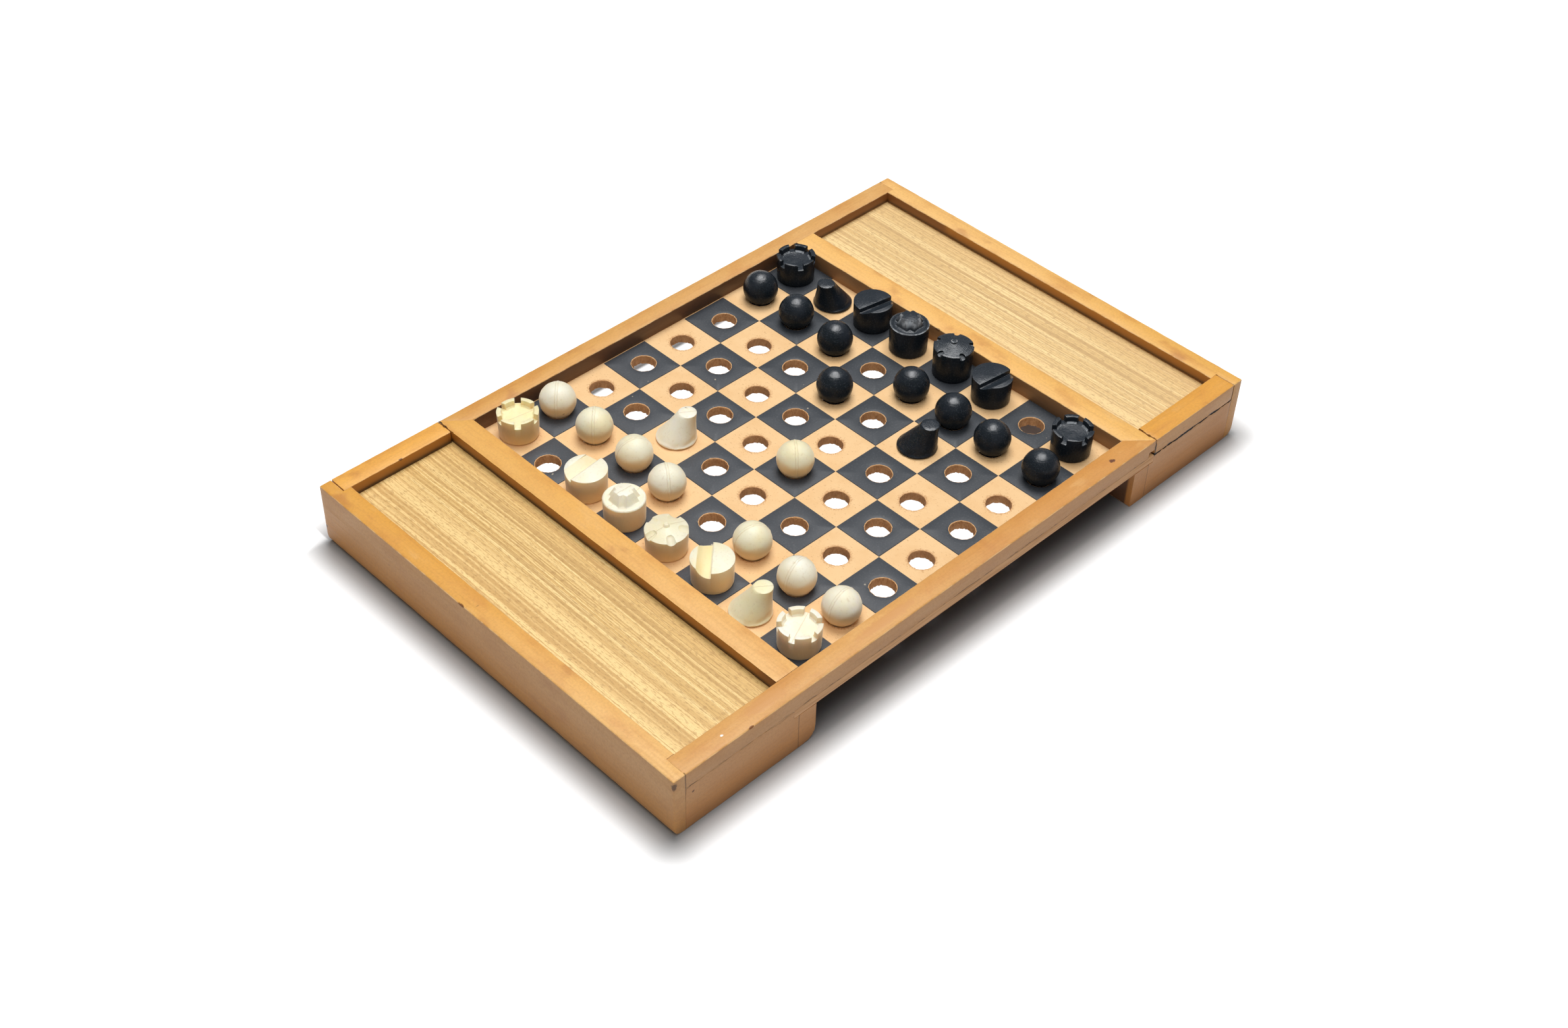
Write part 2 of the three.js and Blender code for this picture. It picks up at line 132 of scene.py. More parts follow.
def hole_centre(rank, file):
    along, across = DRIFT[rank][file]
    return (rank - 3.5 + along / 100) * SQUARE, (3.5 - file + across / 100) * SQUARE + FIELD_SHIFT


# Where the photograph was taken from, in metres and degrees. The lens and film are in millimetres
CAMERA_PLACE = (-0.360208, -0.347740, 0.446284)
CAMERA_TURN = (47.46856, -1.39943, -44.32015)
LENS = 47.7813
FILM_WIDTH = 36.0
NEAREST_SEEN = 0.01

camera = bpy.data.objects.new("camera", bpy.data.cameras.new("camera"))
camera.location = CAMERA_PLACE
camera.rotation_euler = tuple(math.radians(a) for a in CAMERA_TURN)
camera.data.lens = LENS
camera.data.sensor_width = FILM_WIDTH
camera.data.clip_start = NEAREST_SEEN
bpy.context.scene.collection.objects.link(camera)
bpy.context.scene.camera = camera


# Materials
def srgb(r, g, b):
    def linear(v):
        v /= 255
        return v / 12.92 if v <= 0.04045 else ((v + 0.055) / 1.055) ** 2.4

    return (linear(r), linear(g), linear(b), 1.0)


def blended(a, b, share):
    return tuple(low + (high - low) * share for low, high in zip(a, b))


class Graph:
    """Builds a material's nodes. Each call gives back an output socket."""

    def __init__(self, name):
        self.material = bpy.data.materials.new(name)
        self.material.use_nodes = True
        self.tree = self.material.node_tree
        self.tree.nodes.clear()

    def node(self, kind, **settings):
        made = self.tree.nodes.new("ShaderNode" + kind)
        for key, value in settings.items():
            setattr(made, key, value)
        return made

    def feed(self, socket, value):
        if isinstance(value, bpy.types.NodeSocket):
            self.tree.links.new(value, socket)
        elif value is not None:
            socket.default_value = value

    def place(self):
        return self.node("TexCoord").outputs["Object"]

    def normal(self):
        return self.node("NewGeometry").outputs["Normal"]

    def attribute(self, name):
        return self.node("Attribute", attribute_name=name).outputs["Fac"]

    def split(self, vector):
        made = self.node("SeparateXYZ")
        self.feed(made.inputs[0], vector)
        return made.outputs

    def join(self, x, y, z):
        made = self.node("CombineXYZ")
        for socket, value in zip(made.inputs, (x, y, z)):
            self.feed(socket, value)
        return made.outputs[0]

    def scaled(self, vector, scale, shift=(0, 0, 0)):
        made = self.node("Mapping")
        self.feed(made.inputs["Vector"], vector)
        made.inputs["Scale"].default_value = scale
        made.inputs["Location"].default_value = shift
        return made.outputs[0]

    def noise(self, vector, scale, shift=(0, 0, 0), detail=3.0, roughness=0.5):
        """Noise over a vector. The scale is one number, or one for each axis."""
        scales = scale if isinstance(scale, tuple) else (scale, scale, scale)
        made = self.node("TexNoise")
        self.feed(made.inputs["Vector"], self.scaled(vector, scales, shift))
        made.inputs["Scale"].default_value = 1.0
        made.inputs["Detail"].default_value = detail
        made.inputs["Roughness"].default_value = roughness
        return made.outputs[0]

    def math(self, operation, a, b=None, c=None):
        made = self.node("Math", operation=operation)
        for socket, value in zip(made.inputs, (a, b, c)):
            self.feed(socket, value)
        return made.outputs[0]

    def fold(self, operation, first, others):
        for other in others:
            first = self.math(operation, first, other)
        return first

    def times(self, first, *others):
        return self.fold("MULTIPLY", first, others)

    def plus(self, first, *others):
        return self.fold("ADD", first, others)

    def highest(self, first, *others):
        return self.fold("MAXIMUM", first, others)

    def minus(self, a, b):
        return self.math("SUBTRACT", a, b)

    def absolute(self, a):
        return self.math("ABSOLUTE", a)

    def ramp(self, value, low, high, to_low=0.0, to_high=1.0):
        made = self.node("MapRange", interpolation_type="SMOOTHSTEP")
        self.feed(made.inputs["Value"], value)
        made.inputs["From Min"].default_value = low
        made.inputs["From Max"].default_value = high
        made.inputs["To Min"].default_value = to_low
        made.inputs["To Max"].default_value = to_high
        return made.outputs[0]

    def near(self, value, target, width, soft):
        """1 where the value lies within the width of the target, fading to 0 past it."""
        off = self.absolute(self.minus(value, target))
        return self.ramp(self.minus(off, width), 0.0, soft, 1.0, 0.0)

    def mark(self, place, centre, radii):
        """A small ragged spot. Its centre and radii are in millimetres."""
        made = self.node("VectorMath", operation="SUBTRACT")
        self.feed(made.inputs[0], place)
        made.inputs[1].default_value = tuple(c * MM for c in centre)
        scaled = self.scaled(made.outputs[0], tuple(1000.0 / r for r in radii))
        length = self.node("VectorMath", operation="LENGTH")
        self.feed(length.inputs[0], scaled)
        ragged = self.noise(place, 1500, detail=2)
        return self.ramp(self.plus(length.outputs["Value"], ragged), 1.1, 1.6, 1.0, 0.0)

    def mix(self, factor, a, b):
        made = self.node("Mix", data_type="RGBA")
        self.feed(made.inputs[0], factor)
        self.feed(made.inputs[6], a)
        self.feed(made.inputs[7], b)
        return made.outputs[2]

    def bump(self, height, distance, strength):
        made = self.node("Bump")
        made.inputs["Strength"].default_value = strength
        made.inputs["Distance"].default_value = distance
        self.feed(made.inputs["Height"], height)
        return made.outputs[0]

    def finish(self, color, roughness, bump, **plain):
        """The material itself. The shader's other sockets are named with underscores for spaces."""
        shader = self.node("BsdfPrincipled")
        self.feed(shader.inputs["Base Color"], color)
        self.feed(shader.inputs["Roughness"], roughness)
        self.feed(shader.inputs["Normal"], bump)
        for key, value in plain.items():
            self.feed(shader.inputs[key.replace("_", " ")], value)
        output = self.node("OutputMaterial")
        self.feed(output.inputs["Surface"], shader.outputs[0])
        return self.material


# Small marks seen in the photograph: where each lies, its radii and its colour
SPOTS = {
    "wood_end_wall_white": [
        ((-125.0, 10.5, 22.8), (0.6, 1.5, 0.45), (132, 82, 40)),
        ((-125.0, 79.4, 7.0), (0.8, 0.6, 0.7), (110, 70, 40)),
        ((-124.6, -79.8, 20.8), (0.9, 0.9, 1.6), (112, 78, 48)),
    ],
    "wood_near_rail": [
        ((-104.4, -76.5, 23.0), (0.55, 0.4, 0.5), (252, 248, 240)),
        ((-96.5, -79.9, 23.0), (1.2, 0.6, 0.5), (140, 88, 46)),
        ((61.8, -76.7, 23.0), (1.2, 0.8, 0.6), (110, 60, 30)),
        ((-118.6, -80.0, 17.0), (2.4, 0.6, 0.35), (50, 30, 16)),
        ((-88.0, -75.5, 23.0), (9.0, 2.4, 1.0), (216, 156, 90)),
        ((-40.0, -76.5, 23.0), (14.0, 2.0, 1.0), (216, 156, 90)),
    ],
    "wood_lid_strip_white": [((-99.5, 73.3, 22.9), (0.8, 0.5, 0.5), (132, 86, 42))],
    "wood_long_side_white": [((-118.0, -80.0, 14.0), (0.5, 0.5, 0.5), (110, 70, 36))],
}

# Where the frame's joints show as dark lines, in metres from the middle or above the table
STRIP_FOOT = 0.0168
RAIL_FOOT = 0.0170
STRIP_END = 0.0801
RAIL_BUTT = 0.0780
LAPPED_END = 0.1207
CRACK_SHAKE = 0.0022

# Bands over which the wood's colour and its painted shade change, in metres from the middle
LONG_OUTER_FACE = (0.0790, 0.0794)
LONG_INNER_FACE = (0.0722, 0.0728)
SHORT_OF_LAP = (0.1203, 0.1207)
BOX_START = (0.079, 0.080)
TRAY_START = (0.076, 0.079)
INSIDE_LENGTH = (0.1225, 0.1235)
INSIDE_WIDTH = (0.0775, 0.0785)

# Bands of height over which it changes, in metres above the table
SIDE_HEIGHT = (0.001, 0.021)
FOOT_HEIGHT = (0.0, 0.006)
STRIP_START = (0.0163, 0.0167)
TRAY_CORNER = (0.0189, 0.0207)
TRAY_HEIGHT = (0.0185, 0.0225)

# Bands of X times Y, in square metres, that single out two opposite corners of the set
STRIP_CORNERS = (0.00572, 0.00580)
RAIL_CORNERS = (0.0050, 0.0055)


def wood_cracks(g, place, ragged):
    """Dark lines along the joints: round the lids' strips, below the long rails and at the lapped ends."""
    x, y, z = g.split(place)
    away_x = g.absolute(x)
    away_y = g.absolute(y)
    shake = g.times(g.minus(ragged, 0.5), CRACK_SHAKE)
    strip_side = g.ramp(g.times(x, y, -1.0), *STRIP_CORNERS)
    outer_face = g.ramp(away_y, *LONG_OUTER_FACE)
    level = g.plus(z, shake)
    under_strip = g.near(level, STRIP_FOOT, 0.00028, 0.0002)
    under_strip = g.times(under_strip, g.ramp(away_x, *BOX_START), strip_side)
    under_rail = g.near(level, RAIL_FOOT, 0.00003, 0.00022)
    under_rail = g.times(under_rail, g.ramp(away_x, 0.076, 0.084, 0.75, 0.3))
    along = g.times(g.highest(under_strip, under_rail), outer_face, g.ramp(away_x, *SHORT_OF_LAP, 1, 0))
    end_grain = g.absolute(g.split(g.normal())[X])
    wide = g.near(g.plus(away_x, shake), STRIP_END, 0.00012, 0.00022)
    wide = g.times(wide, strip_side, g.ramp(z, *STRIP_START), g.ramp(away_y, *LONG_INNER_FACE))
    wide = g.times(wide, g.ramp(end_grain, 0.75, 0.95, 1, 0))
    lap = g.near(g.plus(away_x, g.times(shake, 0.3)), LAPPED_END, 0.00002, 0.0003)
    lap = g.times(lap, outer_face, g.ramp(z, 0.006, 0.020, 0.12, 0.6))
    butt = g.near(away_x, RAIL_BUTT, 0.00002, 0.0002)
    butt = g.times(butt, g.ramp(z, 0.0164, 0.0166, 0.5, 0), outer_face)
    return g.highest(along, wide, lap, butt)


def make_wood(name, along, low_end, high_end, seed, field_shade):
    """Varnished strip wood, its grain along one axis. The tone drifts along it from one end's to the other's.
    Faces that look into the playing field or into the trays are darkened with painted shade."""
    g = Graph(name)
    place = g.place()
    x, y, z = g.split(place)
    away_x = g.absolute(x)
    away_y = g.absolute(y)

    def stretched(small, large):
        return tuple(small if axis == along else large for axis in (X, Y, Z))

    figure = g.noise(place, stretched(9, 90), (seed, seed, seed))
    cloud = g.noise(place, stretched(55, 130), (seed, 0, seed), detail=4, roughness=0.6)
    grain = g.noise(place, stretched(40, 1100), (0, seed, 0), detail=4, roughness=0.6)
    fuzz = g.noise(place, 1300, (seed, 0, 0), detail=2, roughness=0.7)
    drift = g.plus(g.ramp((x, y, z)[along], -0.08, 0.08), g.times(figure, 0.8))
    color = g.mix(g.ramp(drift, 0.2, 1.2), low_end, high_end)
    color = g.mix(g.ramp(cloud, 0.46, 0.72, 0, 0.42), color, srgb(206, 134, 62))
    color = g.mix(g.ramp(cloud, 0.3, 0.44, 0.3, 0), color, srgb(244, 198, 132))
    smudge = g.noise(place, stretched(60, 85), (seed, seed, 0))
    color = g.mix(g.ramp(smudge, 0.6, 0.74, 0, 0.45), color, srgb(178, 106, 58))
    color = g.mix(g.ramp(grain, 0.45, 0.8, 0, 0.22), color, srgb(178, 116, 52))
    color = g.mix(g.ramp(fuzz, 0.35, 0.75, 0, 0.16), color, srgb(160, 104, 52))
    level = g.absolute(g.split(g.normal())[Z])
    # Painted reflection and shade on the upright faces: greyer and paler high up, darker and more orange at
    # the foot
    side = g.mix(g.ramp(z, *SIDE_HEIGHT), srgb(196, 126, 50), srgb(198, 149, 102))
    side = g.mix(g.ramp(z, *FOOT_HEIGHT, 0.65, 0), side, srgb(140, 84, 34))
    side = g.mix(g.ramp(fuzz, 0.35, 0.75, 0, 0.4), side, srgb(164, 112, 68))
    side = g.mix(g.ramp(cloud, 0.45, 0.7, 0, 0.35), side, srgb(178, 126, 76))
    color = g.mix(g.ramp(level, 0.3, 0.85, 0.75, 0), color, side)
    inside = g.times(g.ramp(away_x, *INSIDE_LENGTH, 1, 0), g.ramp(away_y, *INSIDE_WIDTH, 1, 0))
    inside = g.times(inside, g.ramp(level, 0.3, 0.85, 0.95, 0))
    at_tray = g.ramp(away_x, *TRAY_START)
    # Painted shade on the tray walls: darker towards the tray floor, and darker still at two opposite corners
    tray_shade = g.mix(g.ramp(z, *TRAY_HEIGHT), srgb(132, 84, 30), srgb(182, 118, 44))
    tray_shade = g.mix(g.ramp(g.times(x, y), *RAIL_CORNERS), tray_shade, srgb(136, 84, 40))
    # Painted shade on the inner faces: the field shade towards the playing field, the tray shade in the trays
    color = g.mix(inside, color, g.mix(at_tray, field_shade, tray_shade))
    speck = g.noise(place, 330, (seed, seed, 0), detail=0)
    color = g.mix(g.ramp(speck, 0.875, 0.9, 0, 0.6), color, srgb(70, 40, 22))
    blot = g.noise(place, 220, (seed, 3, 0), roughness=0.6)
    # Pale rounded edges: wear, and partly a painted highlight
    worn = g.times(g.ramp(level, 0.35, 0.5), g.ramp(level, 0.8, 0.95, 1, 0), g.ramp(blot, 0.4, 0.6, 0.1, 0.7))
    color = g.mix(worn, color, srgb(246, 206, 150))
    # Painted shade: a near-black line in the crease where the tray walls meet the lid panel
    crease_shade = g.times(inside, at_tray, g.ramp(z, *TRAY_CORNER, 0.95, 0))
    color = g.mix(crease_shade, color, srgb(44, 28, 12))
    cracks = wood_cracks(g, place, blot)
    color = g.mix(cracks, color, srgb(26, 15, 8))
    for centre, radii, tint in SPOTS.get(name, ()):
        color = g.mix(g.mark(place, centre, radii), color, srgb(*tint))
    height = g.plus(grain, g.times(g.noise(place, 60), 1.5), g.times(fuzz, 0.5))
    height = g.minus(height, g.times(cracks, 3.0))
    return g.finish(color, g.ramp(grain, 0.2, 0.8, 0.42, 0.55), g.bump(height, 0.0001, 0.6))


def make_veneer(name, seed, pale_from, pale_to, paling_share):
    """Varnished striped veneer, its grain along Y: tan with thin cream lines, and beside one edge cream with
    thin tan lines. One turns into the other between two distances. The last share pales it all."""
    g = Graph(name)
    place = g.place()
    x, y, _ = g.split(place)
    wander = g.noise(place, (6, 11, 0), (seed, 0, 0), detail=2)
    lined = g.join(g.math("MULTIPLY_ADD", wander, 0.003, x), y, 0.0)

    def thin(scale, shift, width, strength):
        wave = g.noise(lined, (scale, 1.6, 0), (seed, shift, 0), detail=1)
        return g.ramp(g.absolute(g.minus(wave, 0.5)), 0, width, strength, 0)

    bands = g.noise(lined, (150, 0.9, 0), (seed, 0, 0), detail=1)
    threads = g.noise(lined, (1500, 7, 0), (seed, 2, 0), roughness=0.7)
    dashes = g.noise(lined, (2300, 430, 0), (0, seed, 0), detail=2, roughness=0.65)
    pores = g.noise(lined, (3600, 900, 0), (3, seed, 0), detail=1)
    tan = g.mix(g.ramp(bands, 0.32, 0.62), srgb(226, 185, 114), srgb(235, 196, 126))
    tan = g.mix(thin(640, 3, 0.034, 1.0), tan, srgb(255, 222, 154))
    tan = g.mix(thin(480, 6, 0.036, 0.75), tan, srgb(196, 153, 88))
    cream = g.mix(g.ramp(bands, 0.35, 0.6), srgb(255, 222, 153), srgb(249, 212, 143))
    cream = g.mix(thin(330, 4, 0.045, 0.9), cream, srgb(212, 168, 100))
    pale = g.ramp(g.math("MULTIPLY_ADD", bands, 0.004, g.absolute(x)), pale_from, pale_to)
    color = g.mix(pale, tan, cream)
    color = g.mix(g.ramp(threads, 0.5, 0.7, 0, 0.35), color, srgb(204, 162, 98))
    color = g.mix(g.ramp(dashes, 0.5, 0.66, 0, 0.55), color, srgb(176, 133, 74))
    color = g.mix(g.ramp(pores, 0.6, 0.8, 0, 0.4), color, srgb(150, 108, 58))
    color = g.mix(paling_share, color, srgb(255, 238, 214))
    height = g.times(g.plus(threads, dashes), -1.0)
    return g.finish(color, g.ramp(threads, 0.2, 0.8, 0.42, 0.55), g.bump(height, 0.0001, 0.6))


BOARD_EDGE = (0.0785, 0.0790)


def make_bare_board():
    """Fibreboard: pale face, brown fibrous holes with fuzz round their rims, and a paler outer edge."""
    g = Graph("fibreboard")
    place = g.place()
    x, y, _ = g.split(place)
    upward = g.split(g.normal())[Z]
    rim = g.attribute("rim")
    mottle = g.noise(place, 90, detail=4, roughness=0.65)
    fleck = g.noise(place, (2300, 900, 900), detail=2, roughness=0.7)
    fuzz = g.noise(place, (1900, 1900, 900), roughness=0.7)
    face = g.mix(g.ramp(mottle, 0.35, 0.7), srgb(246, 205, 152), srgb(240, 196, 141))
    face = g.mix(g.ramp(fleck, 0.62, 0.72, 0, 0.5), face, srgb(190, 136, 84))
    for scale in ((2600, 420, 420), (420, 2600, 420)):
        fibre = g.noise(place, scale, (5, 1, 2), detail=1)
        face = g.mix(g.ramp(fibre, 0.74, 0.8, 0, 0.55), face, srgb(166, 108, 62))
    worn = g.plus(g.times(rim, 0.42), fuzz)
    face = g.mix(g.ramp(worn, 0.66, 0.86, 0, 0.6), face, srgb(194, 136, 84))
    wall = g.mix(g.ramp(fuzz, 0.4, 0.75), srgb(212, 162, 114), srgb(186, 129, 82))
    layers = g.noise(place, (120, 120, 1600), detail=2)
    wall = g.mix(g.ramp(layers, 0.55, 0.75, 0, 0.3), wall, srgb(140, 92, 54))
    strata = g.noise(place, (60, 60, 1500))
    edge = g.mix(g.ramp(strata, 0.35, 0.7), srgb(226, 178, 132), srgb(204, 152, 106))
    wall = g.mix(g.ramp(g.highest(g.absolute(x), g.absolute(y)), *BOARD_EDGE), wall, edge)
    color = g.mix(g.ramp(upward, 0.5, 0.9), wall, face)
    height = g.plus(g.times(fleck, 0.5), g.times(fuzz, g.ramp(rim, 0, 1, 0.3, 1.6)))
    return g.finish(color, 0.78, g.bump(height, 0.00015, 0.7))


def make_painted_board():
    """The dark squares: satin charcoal with tiny pale chips. The edges that stand up are painted near-black
    as shade.
    """
    g = Graph("painted_squares")
    place = g.place()
    upward = g.split(g.normal())[Z]
    rim = g.attribute("rim")
    mottle = g.noise(place, 50, (4, 4, 4))
    grit = g.noise(place, 1700, detail=2)
    dusty = g.ramp(g.split(place)[X], -0.05, 0.06)
    face = g.mix(dusty, srgb(74, 77, 82), srgb(60, 64, 69))
    face = g.mix(g.ramp(mottle, 0.35, 0.75, 0, 0.5), face, srgb(58, 63, 70))
    face = g.mix(g.ramp(grit, 0.5, 0.8, 0, 0.35), face, srgb(104, 107, 111))
    chips = g.noise(place, 420, (2, 9, 4), detail=0)
    face = g.mix(g.ramp(chips, 0.855, 0.87, 0, 0.85), face, srgb(178, 168, 150))
    worn = g.plus(g.times(rim, 0.3), grit)
    face = g.mix(g.ramp(worn, 0.86, 0.95, 0, 0.8), face, srgb(150, 128, 104))
    # Painted shade: the faces that stand up are near-black
    color = g.mix(g.ramp(upward, 0.3, 0.7), srgb(20, 18, 17), face)
    height = g.math("MULTIPLY_ADD", grit, 0.3, mottle)
    return g.finish(color, g.ramp(mottle, 0.3, 0.7, 0.46, 0.58), g.bump(height, 0.0001, 0.6))


KING_SEAM = math.radians(144)


def make_white_plastic(name, kind, yellow, seed):
    """Ivory plastic, chalky on top, with the mould's seam across it. Painted shade makes it warmer and darker
    below, yellower in the bishop's groove and darker along the seam.
    """
    g = Graph(name)
    place = g.place()
    x, y, z = g.split(place)
    upward = g.split(g.normal())[Z]
    cloud = g.noise(place, 110, (seed, 0, 0), detail=4)
    pale = blended(srgb(255, 251, 236), srgb(255, 244, 188), yellow)
    warm = blended(srgb(255, 244, 218), srgb(252, 230, 154), yellow)
    color = g.mix(g.ramp(cloud, 0.3, 0.75), pale, warm)
    # Painted shade and painted warm reflection from the board on the faces that turn down
    underside_shade = srgb(222, 186, 122) if kind in ("pawn", "knight") else srgb(230, 180, 98)
    color = g.mix(g.ramp(upward, -0.1, 0.45, 0.8, 0.0), color, underside_shade)
    streak = g.noise(place, (420, 420, 110), (0, seed, 0), roughness=0.6)
    color = g.mix(g.ramp(streak, 0.62, 0.78, 0, 0.3), color, srgb(206, 172, 118))
    grit = g.noise(place, 1500, (seed, 0, 0), detail=2)
    color = g.mix(g.ramp(grit, 0.55, 0.8, 0, 0.2), color, srgb(196, 164, 112))
    pit = g.noise(place, 450, (seed, seed, 0), detail=0)
    color = g.mix(g.ramp(pit, 0.87, 0.9, 0, 0.8), color, srgb(96, 74, 44))
    across = y
    if kind == "king":
        across = g.math("MULTIPLY_ADD", x, -math.sin(KING_SEAM), g.times(y, math.cos(KING_SEAM)))
    ragged = g.times(g.minus(g.noise(place, 700), 0.5), 0.0005)
    off = g.absolute(g.plus(across, ragged))
    if kind == "bishop":
        # Painted shade: the groove is tinted yellower
        channel = g.times(g.ramp(upward, 0.3, 0.5), g.near(y, 0.0025, 0.0018, 0.0006))
        color = g.mix(g.times(channel, yellow * 1.6), color, srgb(250, 216, 130))
    if kind == "pawn":
        groove = g.ramp(g.absolute(g.minus(off, 0.0004)), 0.00003, 0.0002, 1, 0)
        seam = g.times(groove, g.ramp(z, 0.002, 0.009, 0.12, 0.28))
    else:
        seam = g.times(g.ramp(off, 0.00005, 0.0002, 0.4, 0), g.ramp(upward, 0.6, 0.9))
    # Painted shade: the seam is darkened
    color = g.mix(seam, color, srgb(196, 166, 116))
    height = g.plus(g.times(cloud, 1.6), g.times(streak, 0.6), g.times(grit, 0.3))
    height = g.minus(height, g.times(seam, 0.6))
    return g.finish(
        color, g.ramp(cloud, 0.3, 0.7, 0.4, 0.52), g.bump(height, 0.00012, 0.7),
        Subsurface_Weight=0.3, Subsurface_Radius=(1.0, 0.8, 0.5), Subsurface_Scale=0.0025,
        Sheen_Weight=0.75, Sheen_Roughness=0.5, Sheen_Tint=(1.0, 0.88, 0.68, 1.0),
    )


def make_black_plastic(name, turned):
    """Charcoal plastic with fine rings on its level faces, and painted light on its level tops. Turned pieces
    have bright edges, worn and partly a painted highlight.
    """
    g = Graph(name)
    place = g.place()
    x, y, _ = g.split(place)
    upward = g.split(g.normal())[Z]
    cloud = g.noise(place, 160, detail=4)
    grit = g.noise(place, 2200, roughness=0.7)
    color = g.mix(g.ramp(cloud, 0.3, 0.7), srgb(25, 32, 38), srgb(32, 38, 46))
    # Painted light: the level tops are lighter grey
    color = g.mix(g.ramp(upward, 0.75, 1.0, 0, 0.8), color, srgb(48, 54, 61))
    color = g.mix(g.ramp(grit, 0.52, 0.72, 0, 0.35), color, srgb(84, 90, 97))
    scuff = g.noise(place, (500, 500, 300), (3, 3, 3), roughness=0.7)
    color = g.mix(g.ramp(scuff, 0.74, 0.82, 0, 0.4), color, srgb(130, 132, 134))
    if turned:
        # Bright edges: wear, and partly a painted highlight
        edge = g.times(g.ramp(upward, 0.35, 0.5), g.ramp(upward, 0.82, 0.9, 1, 0))
        edge = g.times(edge, g.ramp(scuff, 0.4, 0.6, 0.25, 0.95))
        color = g.mix(edge, color, srgb(176, 181, 186))
    across = g.math("SQRT", g.math("MULTIPLY_ADD", x, x, g.times(y, y)))
    rings = g.noise(g.join(across, 0.0, 0.0), 1900, detail=1)
    rings = g.times(rings, g.ramp(upward, 0.6, 0.95, 0, 0.6))
    height = g.plus(g.times(cloud, 3.0), g.times(grit, 0.75), rings)
    shine = g.ramp(upward, 0.1, 0.7, 0.1, 0.75)
    bump = g.bump(height, 0.00013, 0.8)
    return g.finish(color, g.ramp(cloud, 0.3, 0.7, 0.2, 0.34), bump, Specular_IOR_Level=shine)


# Painted shade for the wooden faces that look into the playing field
DARK_FIELD_SHADE = srgb(92, 62, 42)
BROWN_FIELD_SHADE = srgb(146, 106, 70)
WOODS = {
    "near_rail": (X, srgb(226, 170, 98), srgb(217, 153, 77), 1.3, DARK_FIELD_SHADE),
    "far_rail": (X, srgb(223, 165, 86), srgb(225, 171, 101), 2.1, DARK_FIELD_SHADE),
    "cross_rail_white": (Y, srgb(243, 189, 116), srgb(237, 179, 92), 3.7, BROWN_FIELD_SHADE),
    "cross_rail_black": (Y, srgb(245, 190, 106), srgb(250, 195, 114), 4.9, BROWN_FIELD_SHADE),
    "end_wall_white": (Y, srgb(245, 194, 120), srgb(232, 168, 71), 5.3, DARK_FIELD_SHADE),
    "end_wall_black": (Y, srgb(238, 180, 88), srgb(247, 195, 118), 6.1, DARK_FIELD_SHADE),
    "long_side_white": (X, srgb(226, 168, 106), srgb(216, 156, 92), 7.7, DARK_FIELD_SHADE),
    "long_side_black": (X, srgb(226, 168, 106), srgb(216, 156, 92), 8.9, DARK_FIELD_SHADE),
    "short_side_white": (X, srgb(226, 168, 106), srgb(216, 156, 92), 9.1, DARK_FIELD_SHADE),
    "short_side_black": (X, srgb(226, 170, 112), srgb(216, 156, 96), 10.3, DARK_FIELD_SHADE),
    "cross_wall_white": (Y, srgb(208, 148, 88), srgb(192, 130, 72), 11.9, DARK_FIELD_SHADE),
    "cross_wall_black": (Y, srgb(208, 148, 88), srgb(192, 130, 72), 12.1, DARK_FIELD_SHADE),
    "lid_strip_white": (X, srgb(246, 181, 84), srgb(243, 177, 80), 13.7, DARK_FIELD_SHADE),
    "lid_strip_black": (X, srgb(236, 170, 73), srgb(232, 166, 69), 14.9, DARK_FIELD_SHADE),
    "floor_white": (Y, srgb(206, 158, 100), srgb(190, 138, 84), 15.1, DARK_FIELD_SHADE),
    "floor_black": (Y, srgb(206, 158, 100), srgb(190, 138, 84), 16.3, DARK_FIELD_SHADE),
}


# Shapes
def new_object(name, mesh):
    made = bpy.data.objects.new(name, mesh)
    bpy.context.scene.collection.objects.link(made)
    return made


def mesh_of(bm, name):
    mesh = bpy.data.meshes.new(name)
    bmesh.ops.recalc_face_normals(bm, faces=bm.faces)
    bm.to_mesh(mesh)
    bm.free()
    return mesh


def smooth(mesh, degrees):
    for polygon in mesh.polygons:
        polygon.use_smooth = True
    mesh.set_sharp_from_angle(angle=math.radians(degrees))


def applied(made):
    """Replaces the object's mesh by what its modifiers give."""
    graph = bpy.context.evaluated_depsgraph_get()
    mesh = bpy.data.meshes.new_from_object(made.evaluated_get(graph))
    made.modifiers.clear()
    made.data = mesh
    return made


def tree_of(node):
    bm = bmesh.new()
    bm.from_mesh(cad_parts[node].data)
    tree = BVHTree.FromBMesh(bm)
    bm.free()
    return tree


FRAME_TREES = {node: tree_of(node) for node in [*WOODS, "playing_board"]}
WELD = 1e-6
TOUCH = 0.06
SHARP = 40
FREE_EDGE = 0.4
GLUED_EDGE = 0.09
CUT_STEP = 2.0


def is_glued(node, point):
    """True where another piece of the frame touches this point."""
    for other, tree in FRAME_TREES.items():
        if other != node and tree.find_nearest(point, TOUCH * MM)[0] is not None:
            return True
    return False


